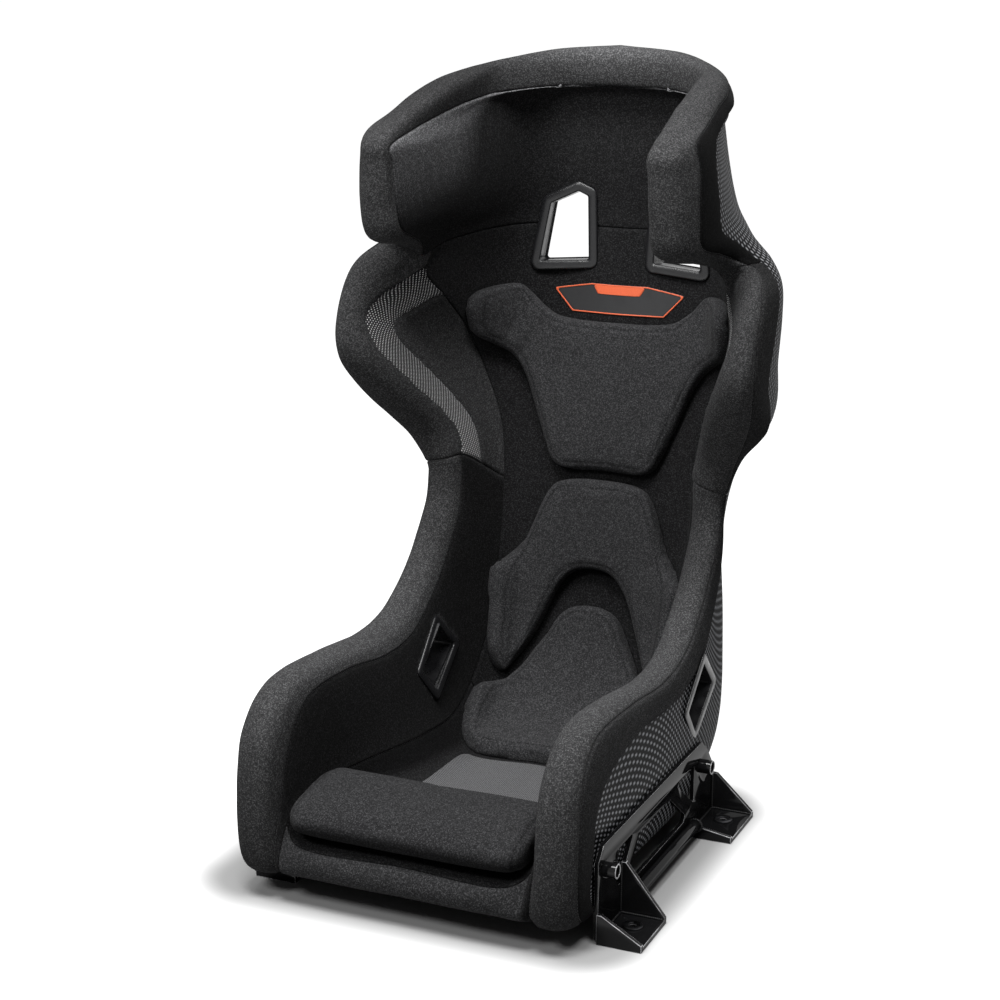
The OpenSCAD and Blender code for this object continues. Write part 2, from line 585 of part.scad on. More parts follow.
module outer_lap_bezel_right() {
    color("#101011") place() {
        at_lap_slot(lap_outer_x) slot_ring(lap_slot, flange_w, 2.5);
        at_lap_slot(lap_inner_x + 32 + gap) slot_ring(lap_slot, tube_t, lap_outer_x - lap_inner_x - 32 - gap);
    }
}
module outer_lap_bezel_left() {
    mirror([1, 0, 0]) outer_lap_bezel_right();
}
module crotch_ring(flange, height) {
    linear_extrude(height) difference() {
        square([crotch_slot_w + 2 * flange, crotch_slot_l + 2 * flange], center = true);
        square([crotch_slot_w, crotch_slot_l], center = true);
    }
}
module crotch_bezel() {
    color("#101011") place() translate([0, crotch_y, 0]) {
        at_crotch() crotch_ring(10, 2.5);
        translate([0, 0, 62]) crotch_ring(tube_t, 20);
    }
}
module at_crotch() {
    translate([0, 0, 81.5]) rotate([-5, 0, 0]) children();
}
module crotch_recess() {
    translate([0, crotch_y, 0]) at_crotch() translate([0, 0, -gap]) linear_extrude(20)
        square([crotch_slot_w + 20 + 2 * gap, crotch_slot_l + 20 + 2 * gap], center = true);
}
module lower_crotch_bezel() {
    color("#101011") place() translate([0, crotch_y, 0]) {
        translate([0, 0, 31]) crotch_ring(10, 3);
        translate([0, 0, 34]) crotch_ring(tube_t, 28 - gap);
    }
}

// ---------- side brackets ----------

front_hole_y = -187;
floor_hole_x = 251;
front_bolt_y = -213;
bolt_z = 84;
insert_d = 16;
boss_d = 18;
boss_reach = 17;
side_bolt_d = 8;
head_d = 13;
head_x = 229;
boss_x = 217;
hex_d = 7;
inner_tall = 22;

insert_x = 198;
// children point outward along +X from the middle plane, at both bolts of the right side
module side_bolt_places() {
    for (y = [front_bolt_y, front_bolt_y + side_pitch])
        translate([0, y, bolt_z]) rotate([0, 90, 0]) children();
}
// side view of the plate with its three windows; local x is y and local y is z
module plate_outline() {
    difference() {
        offset(r = 6) offset(delta = -6) polygon([[-231, 0], [178, 0], [178, 62], [150, 96],
            [126, plate_h], [-214, plate_h], [-231, 98]]);
        offset(r = 3) offset(delta = -3) polygon([[-171, 90], [-118, 90], [-160, 44], [-168, 44]]);
        offset(r = 3) offset(delta = -3) polygon([[-97, 82], [8, 82], [66, 38], [60, 30], [-128, 30], [-132, 44]]);
        offset(r = 3) offset(delta = -3) polygon([[30, 92], [98, 92], [98, 42]]);
    }
}
module bracket_plate_right() {
    color("#0e0e0f") place() difference() {
        translate([plate_x - plate_t, 0, 0]) rotate([90, 0, 90]) linear_extrude(plate_t) plate_outline();
        side_bolt_places() cylinder(d = boss_d, h = 300);
    }
}
module bracket_plate_left() {
    mirror([1, 0, 0]) bracket_plate_right();
}
// gusset across a foot: height at the plate, height at the tip
module gusset(y, tall, low) {
    translate([plate_x, y + foot_t, 0]) rotate([90, 0, 0]) linear_extrude(foot_t)
        polygon([[0, 0], [foot_reach, 0], [foot_reach, low], [6, tall], [0, tall]]);
}
module foot(from, to, hole_y, front_tall, rear_tall) {
    difference() {
        union() {
            translate([plate_x, from, 0]) cube([foot_reach, to - from, foot_t]);
            gusset(from, front_tall, foot_t + 3);
            gusset(to - foot_t, rear_tall, foot_t + 3);
        }
        translate([floor_hole_x, hole_y, 0]) cylinder(d = floor_hole_d, h = 40, center = true);
    }
}
module front_foot_right() {
    color("#0e0e0f") place() foot(-237, -153, front_hole_y, 37, 70);
}
// the left feet and rail point the same way as the right ones, in under the seat, where low gussets clear it
module turned_in() {
    translate([plate_t - 2 * plate_x, 0, 0]) children();
}
module front_foot_left() {
    color("#0e0e0f") place() turned_in() foot(-237, -153, front_hole_y, inner_tall, inner_tall);
}
module rear_foot_right() {
    color("#0e0e0f") place() foot(85, 178, front_hole_y + floor_pitch, 17, 55);
}
module rear_foot_left() {
    color("#0e0e0f") place() turned_in() foot(85, 178, front_hole_y + floor_pitch, inner_tall, inner_tall);
}
module lower_rail_right() {
    color("#0e0e0f") place() translate([plate_x + 8, -153, 18]) rotate([-90, 0, 0]) cylinder(d = 15, h = 238);
}
module lower_rail_left() {
    turned_in() lower_rail_right();
}
module bolt_boss_right() {
    color("#0e0e0f") place() side_bolt_places() difference() {
        translate([0, 0, boss_x]) cylinder(d = boss_d, h = plate_x + boss_reach - boss_x);
        cylinder(d = side_bolt_d + 2 * gap, h = 300);
        translate([0, 0, head_x]) cylinder(d = head_d + 1, h = 40);
    }
}
module bolt_boss_left() {
    mirror([1, 0, 0]) bolt_boss_right();
}
module side_bolt_right() {
    color("#3a3b3d") place() side_bolt_places() {
        translate([0, 0, insert_x + 2]) cylinder(d = side_bolt_d, h = head_x - insert_x - 2);
        translate([0, 0, head_x]) difference() {
            cylinder(d = head_d, h = 8);
            translate([0, 0, 3]) cylinder(d = hex_d, h = 6, $fn = 6);
        }
    }
}
module side_bolt_left() {
    mirror([1, 0, 0]) side_bolt_right();
}
module shell_insert_right() {
    color("#8c8e92") place() side_bolt_places() difference() {
        translate([0, 0, insert_x]) cylinder(d = insert_d, h = boss_x - insert_x);
        translate([0, 0, insert_x - 1]) cylinder(d = side_bolt_d, h = 40);
    }
}
module shell_insert_left() {
    mirror([1, 0, 0]) shell_insert_right();
}
module floor_washer_right() {
    color("#2a2a2c") place() for (y = [front_hole_y, front_hole_y + floor_pitch])
        translate([floor_hole_x, y, foot_t]) difference() {
            cylinder(d = 24, h = 2);
            translate([0, 0, -1]) cylinder(d = floor_hole_d, h = 4);
        }
}
module floor_washer_left() {
    turned_in() floor_washer_right();
}

shell();
front_lip();
seat_lining();
back_lining();
head_lining();
thigh_bolster_left();
thigh_bolster_right();
shoulder_bolster_left();
shoulder_bolster_right();
halo_cover();
shoulder_mesh_left();
shoulder_mesh_right();
seat_mesh();
upper_back_pad();
lumbar_pad();
lower_back_pad();
leg_cushion();
badge();
shoulder_bezel_left();
shoulder_bezel_right();
rear_bezel_left();
rear_bezel_right();
lap_bezel_left();
lap_bezel_right();
outer_lap_bezel_left();
outer_lap_bezel_right();
crotch_bezel();
lower_crotch_bezel();
bracket_plate_left();
bracket_plate_right();
front_foot_left();
front_foot_right();
rear_foot_left();
rear_foot_right();
lower_rail_left();
lower_rail_right();
bolt_boss_left();
bolt_boss_right();
side_bolt_left();
side_bolt_right();
shell_insert_left();
shell_insert_right();
floor_washer_left();
floor_washer_right();
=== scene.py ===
import bmesh
import bpy
import math
import numpy as np
from mathutils import Matrix, Vector, noise


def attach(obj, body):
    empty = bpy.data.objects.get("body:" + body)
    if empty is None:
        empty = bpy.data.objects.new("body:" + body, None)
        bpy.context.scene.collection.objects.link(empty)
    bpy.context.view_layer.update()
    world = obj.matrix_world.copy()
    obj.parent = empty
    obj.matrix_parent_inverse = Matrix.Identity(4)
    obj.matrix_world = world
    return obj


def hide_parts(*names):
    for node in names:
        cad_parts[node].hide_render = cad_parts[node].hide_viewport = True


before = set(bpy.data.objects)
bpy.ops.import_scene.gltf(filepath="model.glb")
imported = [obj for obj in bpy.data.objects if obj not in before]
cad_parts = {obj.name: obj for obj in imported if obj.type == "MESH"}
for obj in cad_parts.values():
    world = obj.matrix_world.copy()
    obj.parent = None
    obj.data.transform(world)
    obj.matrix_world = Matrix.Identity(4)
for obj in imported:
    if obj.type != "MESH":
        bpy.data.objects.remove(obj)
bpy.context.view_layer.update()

# ---- Carbon shell ----
# The bucket that carries everything: one moulding of woven carbon cloth under clear resin, 4.5 mm
# thick, cut through for the belts and bored for four metal inserts. Its shape is worked out in
# millimetres from a table of sections, with y from the rear edge of the lap-belt slots.

# one row per station from under the front lip to the crown: the lining's middle as y, z, then nine
# points round the right half as x, y, z, then the middle of the shell's outside as y, z
station_rows = np.array([
    [-260, 25, 120, -260, 25, 156, -260, 25, 164, -258, 27, 175, -264, 23, 198, -260, 23, 212, -246, 28,
     218, -224, 34, 208, -222, 30, 130, -238, 24, -238, 23],
    [-292, 44, 120, -292, 44, 156, -292, 46, 164, -287, 50, 175, -292, 47, 202, -289, 48, 217, -272, 56,
     219, -238, 62, 212, -195, 38, 158, -190, 28, -190, 28],
    [-281, 73, 138, -281, 75, 157, -266, 90, 164, -264, 128, 174, -290, 124, 202, -292, 122, 218, -276,
     118, 217, -224, 106, 212, -165, 42, 166, -150, 31, -150, 34],
    [-222, 83, 146, -222, 85, 157, -214, 107, 165, -240, 186, 174, -273, 200, 203, -276, 203, 217, -263,
     194, 216, -211, 152, 212, -130, 43, 168, -115, 31, -115, 36],
    [-160, 85, 142, -160, 87, 155, -160, 110, 165, -190, 226, 175, -212, 246, 200, -215, 250, 214, -212,
     240, 215, -165, 183, 213, -95, 44, 170, -80, 31, -80, 36],
    [-85, 78, 118, -85, 80, 143, -85, 108, 165, -90, 226, 175, -100, 244, 199, -100, 250, 213, -98, 240,
     215, -78, 198, 213, -50, 43, 170, -40, 30, -40, 34],
    [-10, 66, 106, -10, 68, 135, -10, 100, 165, 10, 211, 175, 5, 230, 199, 5, 238, 213, 8, 230, 216, 20,
     194, 213, 0, 41, 170, 10, 28, 10, 30],
    [70, 54, 106, 70, 56, 134, 70, 90, 165, 90, 217, 175, 86, 238, 199, 85, 248, 212, 88, 240, 216, 88,
     198, 213, 60, 40, 168, 70, 26, 70, 26],
    [150, 45, 108, 150, 47, 137, 150, 85, 165, 158, 258, 175, 150, 278, 199, 146, 286, 211, 150, 276,
     215, 155, 220, 212, 140, 48, 158, 150, 25, 150, 22],
    [232, 66, 108, 228, 72, 138, 214, 112, 165, 205, 306, 175, 194, 322, 199, 188, 330, 210, 192, 318,
     211, 208, 270, 208, 230, 90, 134, 262, 44, 262, 36],
    [296, 150, 106, 290, 155, 134, 272, 190, 165, 236, 352, 175, 224, 362, 199, 218, 368, 210, 222, 358,
     208, 240, 320, 199, 262, 180, 128, 304, 130, 316, 122],
    [326, 260, 104, 320, 262, 134, 302, 285, 165, 243, 390, 175, 230, 394, 200, 224, 396, 210, 230, 390,
     204, 250, 365, 192, 278, 290, 127, 331, 250, 350, 246],
    [346, 360, 106, 340, 362, 140, 330, 375, 165, 241, 425, 176, 226, 422, 202, 222, 416, 213, 231, 412,
     206, 258, 406, 193, 295, 378, 128, 355, 352, 372, 350],
    [364, 448, 112, 358, 450, 152, 346, 453, 176, 232, 470, 188, 212, 466, 216, 202, 460, 230, 212, 456,
     228, 248, 456, 208, 314, 452, 136, 378, 448, 391, 448],
    [380, 530, 126, 372, 532, 176, 338, 533, 208, 165, 538, 222, 146, 532, 250, 142, 524, 264, 156, 518,
     271, 220, 508, 245, 316, 526, 140, 398, 532, 408, 532],
    [391, 590, 138, 380, 591, 189, 312, 586, 238, 122, 594, 248, 106, 588, 271, 102, 578, 280, 118, 574,
     280, 184, 576, 258, 288, 588, 148, 408, 592, 421, 592],
    [399, 642, 144, 385, 643, 200, 262, 637, 248, 130, 634, 258, 112, 636, 275, 106, 632, 283, 118, 630,
     284, 194, 638, 264, 280, 644, 154, 414, 644, 430, 642],
    [404, 682, 142, 390, 682, 208, 228, 670, 234, 176, 662, 246, 156, 676, 269, 143, 689, 279, 150, 685,
     282, 208, 682, 260, 286, 684, 152, 418, 684, 434, 682],
    [407, 708, 138, 392, 708, 200, 240, 694, 214, 215, 680, 224, 200, 696, 246, 186, 708, 259, 188, 712,
     266, 220, 708, 246, 288, 712, 150, 418, 710, 435, 708],
    [409, 728, 134, 394, 729, 184, 258, 724, 198, 196, 712, 208, 182, 712, 224, 176, 716, 234, 186, 722,
     244, 216, 726, 226, 288, 732, 148, 417, 730, 435, 728],
    [410, 744, 130, 394, 745, 168, 272, 744, 184, 140, 732, 194, 128, 726, 214, 132, 726, 226, 150, 734,
     233, 196, 742, 216, 282, 748, 144, 416, 746, 434, 744],
    [410, 766, 126, 392, 767, 156, 285, 768, 168, 76, 752, 175, 60, 742, 204, 60, 742, 222, 86, 752, 228,
     146, 764, 205, 272, 768, 140, 413, 768, 433, 766],
    [409, 795, 124, 390, 796, 152, 292, 797, 167, 60, 786, 174, 43, 785, 202, 44, 785, 223, 74, 796, 226,
     138, 800, 198, 264, 798, 136, 409, 797, 430, 796],
    [406, 830, 122, 386, 831, 150, 300, 832, 167, 52, 832, 174, 36, 836, 200, 40, 836, 221, 76, 842, 221,
     138, 838, 193, 258, 834, 131, 405, 832, 426, 830],
    [403, 858, 122, 382, 859, 149, 304, 860, 166, 46, 857, 172, 40, 864, 197, 42, 863, 214, 80, 872, 217,
     146, 866, 190, 258, 862, 128, 400, 860, 422, 862],
    [400, 874, 122, 378, 875, 148, 306, 876, 164, 100, 871, 168, 100, 888, 194, 101, 888, 210, 130, 888,
     213, 168, 878, 187, 264, 880, 126, 397, 878, 419, 880],
    [397, 886, 120, 374, 887, 146, 310, 888, 160, 172, 884, 160, 173, 909, 194, 175, 912, 203, 190, 904,
     206, 218, 892, 188, 276, 892, 122, 393, 892, 416, 896],
    [393, 896, 116, 370, 897, 143, 314, 897, 152, 244, 896, 153, 249, 927, 184, 251, 929, 192, 262, 917,
     195, 276, 902, 173, 302, 902, 113, 382, 906, 405, 910],
    [387, 904, 104, 364, 905, 128, 334, 905, 137, 310, 903, 140, 316, 940, 154, 328, 940, 161, 338, 929,
     164, 340, 910, 141, 343, 920, 96, 378, 929, 399, 932],
    [376, 909, 62, 368, 909, 74, 366, 909, 80, 364, 909, 82, 360, 950, 88, 378, 955, 92, 392, 946, 94,
     398, 922, 78, 385, 941, 51, 391, 942, 396, 943],
    [371, 911, 0, 371, 911, 0, 371, 911, 0, 371, 911, 0, 364, 954, 0, 386, 962, 0, 404, 952, 0, 410, 926,
     0, 396, 943, 0, 396, 943, 396, 943],
])
MIRROR = np.array([-1.0, 1.0, 1.0])
SEAT_ORIGIN = np.array([0.0, 70.0, 0.0])
corners = np.zeros((31, 11, 3))
corners[:, 0, 1:] = station_rows[:, :2]
corners[:, 1:10] = station_rows[:, 2:29].reshape(31, 9, 3)
corners[:, 10, 1:] = station_rows[:, 29:]
corners = np.concatenate([2 * corners[:1] - corners[1:2], corners, 2 * corners[-1:] - corners[-2:-1]])
SHELL_THICK, COVER_THICK, GAP = 4.5, 3.0, 0.4


def unit(p):
    return p / np.maximum(np.linalg.norm(p, axis=-1, keepdims=True), 1e-9)


def mix(a, b, t):
    return a + (b - a) * t


def through(a, b, c, d, t):
    """A smooth curve from b to c that also heeds a before them and d after them."""
    return 0.5 * (2 * b + (c - a) * t + (2 * a - 5 * b + 4 * c - d) * t ** 2
                  + (3 * b - a - 3 * c + d) * t ** 3)


def through_uneven(a, b, c, d, t):
    """The same for points at uneven distances, which it passes without a kink."""
    k, m, n = (np.sqrt(np.maximum(np.linalg.norm(q - p, axis=-1, keepdims=True), 0.01))
               for p, q in ((a, b), (b, c), (c, d)))
    start = m * ((b - a) / k - (c - a) / (k + m)) + c - b
    end = m * ((d - c) / n - (d - b) / (m + n)) + c - b
    return b + t * start + t ** 2 * (3 * (c - b) - 2 * start - end) + t ** 3 * (2 * (b - c) + start + end)


def section(u):
    """The corner points of the section at each u."""
    i = np.clip(np.floor(u), 0, 29).astype(int)
    t = (u - i)[..., None, None]
    return through(*(corners[i + k] for k in range(4)), t)


def surface(u, v):
    """Points of the padded surface: u runs along the seat and v round its section, below 0 on the left."""
    u, v = np.broadcast_arrays(np.asarray(u, float), np.asarray(v, float))
    s = section(u)
    ring = np.concatenate([s[..., 1:2, :] * MIRROR, s, s[..., 9:10, :] * MIRROR], -2)
    w = np.abs(v)
    i = np.clip(np.floor(w), 0, 9).astype(int)
    near = (np.take_along_axis(ring, (i + k)[..., None, None], -2)[..., 0, :] for k in range(4))
    p = through_uneven(*near, (w - i)[..., None])
    return np.where(v[..., None] < 0, p * MIRROR, p)


def outward(u, v):
    """The way out of the padding."""
    along = surface(np.minimum(u + 0.05, 30), v) - surface(np.maximum(u - 0.05, 0), v)
    around = surface(u, v + 0.05) - surface(u, v - 0.05)
    return unit(np.cross(around, along))


def rim(u):
    """The middle of the shell's edge, inside the roll."""
    s = section(u)
    return mix(s[..., 6, :], s[..., 3:7, :].mean(-2), 0.35)


def crown_share(u):
    """How far the shell has turned over from a side wall to the crown, from 0 to 1."""
    return np.clip((u - 26) / 3, 0, 1)[..., None]


def to_head(p):
    """The level way from each point to the middle of the driver's head."""
    return unit(np.stack([-p[..., 0], 200 - p[..., 1], 0 * p[..., 0]], -1))


def rim_inward(u):
    """The way from the shell's edge into the seat."""
    s = section(u)
    return unit(mix(unit(s[..., 3, :] - s[..., 6, :]), to_head(rim(u)), crown_share(u)))


def shell_outside(u, v):
    """Outer face of the shell, with v from 6 at its rim to 10 at its middle."""
    u, v = np.broadcast_arrays(np.asarray(u, float), np.asarray(v, float))
    w, c, s, k = np.abs(v), crown_share(u), section(u), rim(u)
    seven = np.full(u.shape, 7.0)
    edge = mix(surface(u, seven) - COVER_THICK * outward(u, seven), (s[..., 8, :] + k) / 2, c)
    t = (w - 7)[..., None]
    side = mix(edge, s[..., 8, :], t) + (surface(u, w) - mix(s[..., 7, :], s[..., 8, :], t)) * (1 - c)
    wall = np.where(t < 1, side, surface(u, w))
    p = np.where(t <= 0, mix(k, edge, t + 1), wall)
    return np.where(v[..., None] < 0, p * MIRROR, p)


def shell_inside(u, v, lift=0.0):
    """Inner face of the shell, or a face that much further in."""
    u, v = np.broadcast_arrays(np.asarray(u, float), np.asarray(v, float))
    w = np.abs(v)
    p = shell_outside(u, w)
    wall = mix(-outward(u, np.maximum(w, 7.2)), to_head(p), crown_share(u))
    q = p + (SHELL_THICK + lift) * unit(mix(rim_inward(u), wall, np.minimum(w - 6, 1)[..., None]))
    return np.where(v[..., None] < 0, q * MIRROR, q)


def to_seat(points):
    """Points in the section table's millimetres as metres in the seat's own frame."""
    return (np.asarray(points) - SEAT_ORIGIN) / 1000


def to_table(points):
    return points * 1000 + SEAT_ORIGIN


def stand(name, data):
    """A new object in the scene."""
    obj = bpy.data.objects.new(name, data)
    bpy.context.scene.collection.objects.link(obj)
    return obj


def lay_cloth(mesh, cloth):
    """Gives the corners of the faces their vertices' cloth coordinates, in metres."""
    index = np.empty(len(mesh.loops), np.int32)
    mesh.loops.foreach_get("vertex_index", index)
    mesh.uv_layers.new(name="cloth").data.foreach_set("uv", cloth[index].astype(np.float32).ravel())


def piece(name, points, faces, cloth=None):
    """Mesh object from points in the section table's millimetres."""
    mesh = bpy.data.meshes.new(name)
    mesh.from_pydata(to_seat(points).tolist(), [], [list(f) for f in faces])
    if cloth is not None:
        lay_cloth(mesh, cloth)
    bm = bmesh.new()
    bm.from_mesh(mesh)
    bmesh.ops.recalc_face_normals(bm, faces=bm.faces)
    bm.to_mesh(mesh)
    bm.free()
    mesh.shade_smooth()
    return stand(name, mesh)


def sheet_solid(name, front, back, cloth=None):
    """Closed piece between two grids of points that have the same rows and columns."""
    n, m = front.shape[:2]
    f = np.arange(n * m).reshape(n, m)
    b = f + n * m
    squares = [(f[:-1, :-1], f[1:, :-1], f[1:, 1:], f[:-1, 1:]),
               (b[:-1, :-1], b[:-1, 1:], b[1:, 1:], b[1:, :-1]),
               (f[:-1, 0], b[:-1, 0], b[1:, 0], f[1:, 0]), (f[:-1, -1], f[1:, -1], b[1:, -1], b[:-1, -1]),
               (f[0, :-1], f[0, 1:], b[0, 1:], b[0, :-1]), (f[-1, :-1], b[-1, :-1], b[-1, 1:], f[-1, 1:])]
    faces = np.concatenate([np.stack(s, -1).reshape(-1, 4) for s in squares])
    if cloth is not None:
        cloth = np.tile(cloth.reshape(-1, 2), (2, 1))
    return piece(name, np.concatenate([front.reshape(-1, 3), back.reshape(-1, 3)]), faces.tolist(), cloth)


def run_lengths(points, axis):
    """How far each point lies along its line of a grid."""
    step = np.linalg.norm(np.diff(points, axis=axis), axis=-1)
    return np.insert(np.cumsum(step, axis), 0, 0, axis)


def settled(obj):
    """The object with what its modifiers make as its plain mesh."""
    bpy.context.view_layer.update()
    graph = bpy.context.evaluated_depsgraph_get()
    mesh = bpy.data.meshes.new_from_object(obj.evaluated_get(graph), preserve_all_data_layers=True,
                                           depsgraph=graph)
    obj.modifiers.clear()
    obj.data = mesh
    return obj


def rounded(outline, inset, radius, steps=7):
    """Outline moved inwards by inset with its corners rounded, as steps + 1 points a corner."""
    p = np.array(outline, float)
    turn = np.sign(sum(a[0] * b[1] - a[1] * b[0] for a, b in zip(p, np.roll(p, -1, 0))))
    if turn < 0:
        p = p[::-1]
    out = []
    for a, b, c in zip(np.roll(p, 1, 0), p, np.roll(p, -1, 0)):
        d, e = unit(b - a), unit(c - b)
        m, n = np.array([d[1], -d[0]]), np.array([e[1], -e[0]])
        centre = b - (inset + radius) * (m + n) / (1 + m @ n)
        first = math.atan2(m[1], m[0])
        sweep = math.atan2(m[0] * n[1] - m[1] * n[0], m @ n)
        angles = first + sweep * np.linspace(0, 1, steps + 1)
        out.append(centre + radius * np.stack([np.cos(angles), np.sin(angles)], -1))
    return np.concatenate(out)


def turned(x, y, z):
    """Turned about x, then y, then z, in degrees."""
    return Matrix.Rotation(math.radians(z), 4, "Z") @ Matrix.Rotation(math.radians(y), 4, "Y") \
        @ Matrix.Rotation(math.radians(x), 4, "X")


def shifted(x, y, z):
    return Matrix.Translation((x, y, z))


def carried(place, points):
    """The points moved and turned to their place."""
    points = np.asarray(points, float)
    return np.c_[points, np.ones(len(points))] @ np.array(place).T[:, :3]


# the outlines of the belt slots' frames on the shell, the shoulder slot's as x, z and the lap slot's as
# y, z, how wide each frame's flange is, and the faces that the frames lie on
SHOULDER_SLOT = [[34, 662], [133, 655], [114, 757], [64, 780], [38, 768]]
LAP_SLOT = [[146, 228], [198, 174], [114, 116], [74, 168]]
SHOULDER_WIDE, LAP_WIDE, SLEEVE_THICK = 13, 11, 3
shoulder_front = shifted(82, 403, 716) @ turned(0, 0, -6) @ turned(-3.6, 0, 0) @ turned(90, 0, 0) \
    @ shifted(-82, -716, 0)
shoulder_rear = shifted(82, 427, 716) @ turned(0, 0, -6) @ Matrix.Scale(-1, 4, (0, 1, 0)) @ turned(90, 0, 0) \
    @ shifted(-82, -716, 0)
lap_wall = shifted(152, 133, 171) @ turned(0, 0, 2.5) @ turned(0, 10, 0) @ turned(90, 0, 90) \
    @ shifted(-133, -171, 0)


def lap_side(x):
    """The upright plane at x, with the lap slot's outline on it."""
    return shifted(x, 0, 0) @ turned(90, 0, 90)


def ring_faces(rings, n, closed=False):
    """Faces from each ring of n points to the next, and from the last to the first if it is closed."""
    return [[r * n + i, r * n + (i + 1) % n, (r + 1) % rings * n + (i + 1) % n, (r + 1) % rings * n + i]
            for r in range(rings if closed else rings - 1) for i in range(n)]


def prism(place, outline, low, high):
    """Points and faces of a straight block over an outline."""
    n = len(outline)
    ends = [np.c_[outline, np.full(n, z)] for z in (low, high)]
    faces = [list(range(n)), list(range(n, 2 * n))] + ring_faces(2, n)
    return carried(place, np.concatenate(ends)), faces


def rectangle(x, y):
    return [[-x / 2, -y / 2], [x / 2, -y / 2], [x / 2, y / 2], [-x / 2, y / 2]]


def circle(radius, count):
    angles = np.linspace(0, 2 * math.pi, count + 1)[:-1]
    return [[radius * math.cos(a), radius * math.sin(a)] for a in angles]


def both_sides(blocks):
    """The right side's blocks and their mirror images."""
    return blocks + [(p * MIRROR, f) for p, f in blocks]


def cut_out(obj, blocks):
    """Cuts the blocks out of the object, one after another."""
    cutters = [piece("cutter", p, f) for p, f in blocks]
    for cutter in cutters:
        saw = obj.modifiers.new("cut", "BOOLEAN")
        saw.operation, saw.object, saw.solver = "DIFFERENCE", cutter, "MANIFOLD"
    settled(obj)
    for cutter in cutters:
        bpy.data.objects.remove(cutter)
    return obj


shoulder_hole = prism(shoulder_front, rounded(SHOULDER_SLOT, SHOULDER_WIDE - SLEEVE_THICK - GAP, 6), -60, 30)
lap_hole = prism(lap_side(100), rounded(LAP_SLOT, LAP_WIDE - SLEEVE_THICK - GAP, 6), 0, 160)
CROTCH_Y, CROTCH_TOP = -112, 81.5
crotch_hole = prism(shifted(0, CROTCH_Y, 0), rounded(rectangle(91, 27), 0, 1.5), 10, 110)
INSERT_HOLE, INSERT_HEIGHT, INSERT_ROWS = 8.4, 84, (-213, 121)
insert_holes = [prism(shifted(190, y, INSERT_HEIGHT) @ turned(0, 90, 0), circle(INSERT_HOLE, 32), 0, 45)
                for y in INSERT_ROWS]


def node(tree, kind, *feeds, **settings):
    """A shader or geometry node with its first inputs fed in order."""
    made = tree.nodes.new(kind)
    for key, value in settings.items():
        setattr(made, key, value)
    for socket, feed in zip(made.inputs, feeds):
        if isinstance(feed, bpy.types.NodeSocket):
            tree.links.new(feed, socket)
        elif feed is not None:
            socket.default_value = feed
    return made


def calc(tree, operation, *feeds):
    """What a Math node puts out."""
    return node(tree, "ShaderNodeMath", *feeds, operation=operation).outputs[0]


def effect(name, wants, gives):
    """A shader node group, with its inputs by name and a function that feeds its outputs."""
    tree = bpy.data.node_groups.new(name, "ShaderNodeTree")
    for label, kind, value in wants:
        socket = tree.interface.new_socket(label, in_out="INPUT", socket_type="NodeSocket" + kind)
        if value is not None:
            socket.default_value = value
    for label, kind in gives:
        tree.interface.new_socket(label, in_out="OUTPUT", socket_type="NodeSocket" + kind)
    end = tree.nodes.new("NodeGroupOutput")
    return tree, tree.nodes.new("NodeGroupInput").outputs, \
        lambda **feeds: [tree.links.new(feed, end.inputs[label]) for label, feed in feeds.items()]


def finish(name, **values):
    """A material with a Principled BSDF, its plain values set on its own sockets."""
    material = bpy.data.materials.new(name)
    material.use_nodes = True
    shader = material.node_tree.nodes["Principled BSDF"]
    for key, value in values.items():
        shader.inputs[key.replace("_", " ").title().replace("Ior", "IOR")].default_value = value
    return material, material.node_tree, shader.inputs


def placed(tree, group, **feeds):
    """A group's node in a material, fed by name."""
    made = tree.nodes.new("ShaderNodeGroup")
    made.node_tree = group
    for key, feed in feeds.items():
        if isinstance(feed, bpy.types.NodeSocket):
            tree.links.new(feed, made.inputs[key])
        else:
            made.inputs[key].default_value = feed
    return made.outputs


def shade(tree, colour, tone, base):
    """A colour made lighter and darker by a tone that is 1 on average."""
    made = node(tree, "ShaderNodeVectorMath", colour, operation="SCALE")
    tree.links.new(tone, made.inputs["Scale"])
    tree.links.new(made.outputs[0], base)


def mottling(tree, place, scale, detail=2.0):
    """Noise that many times to the unit of the coordinates."""
    made = node(tree, "ShaderNodeTexNoise", place)
    made.inputs["Scale"].default_value = scale
    made.inputs["Detail"].default_value = detail
    return made.outputs[0]


def over_cloth(tree, coordinates, cell):
    """Coordinates counted in cells of that size, and the vector's first two parts."""
    cells = node(tree, "ShaderNodeVectorMath", coordinates, None, operation="SCALE")
    tree.links.new(calc(tree, "DIVIDE", 1.0, cell), cells.inputs["Scale"])
    across, along, _ = node(tree, "ShaderNodeSeparateXYZ", cells.outputs[0]).outputs
    return cells.outputs[0], across, along


def raised(tree, height, distance, normal, strength=1.0):
    """A bump of that height, in metres."""
    bump = tree.nodes.new("ShaderNodeBump")
    bump.inputs["Strength"].default_value = strength
    bump.inputs["Distance"].default_value = distance
    tree.links.new(height, bump.inputs["Height"])
    tree.links.new(bump.outputs[0], normal)


# plain weave: tows of fibre that pass over and under each other; the light dashes along the crowns of the
# tows on top are painted highlights
TOW = 0.005
tow_weave, given, give = effect("tow weave", [("Cloth", "Vector", None), ("Tow", "Float", TOW)],
                                [("Tone", "Float"), ("Height", "Float")])
tows, across, along = over_cloth(tow_weave, given["Cloth"], given["Tow"])
column, row = calc(tow_weave, "FLOOR", across), calc(tow_weave, "FLOOR", along)
over = calc(tow_weave, "FLOORED_MODULO", calc(tow_weave, "ADD", column, row), 2.0)
under = calc(tow_weave, "SUBTRACT", 1.0, over)
arc_x, arc_y = (calc(tow_weave, "SINE", calc(tow_weave, "MULTIPLY", calc(tow_weave, "FRACT", way), math.pi))
                for way in (across, along))


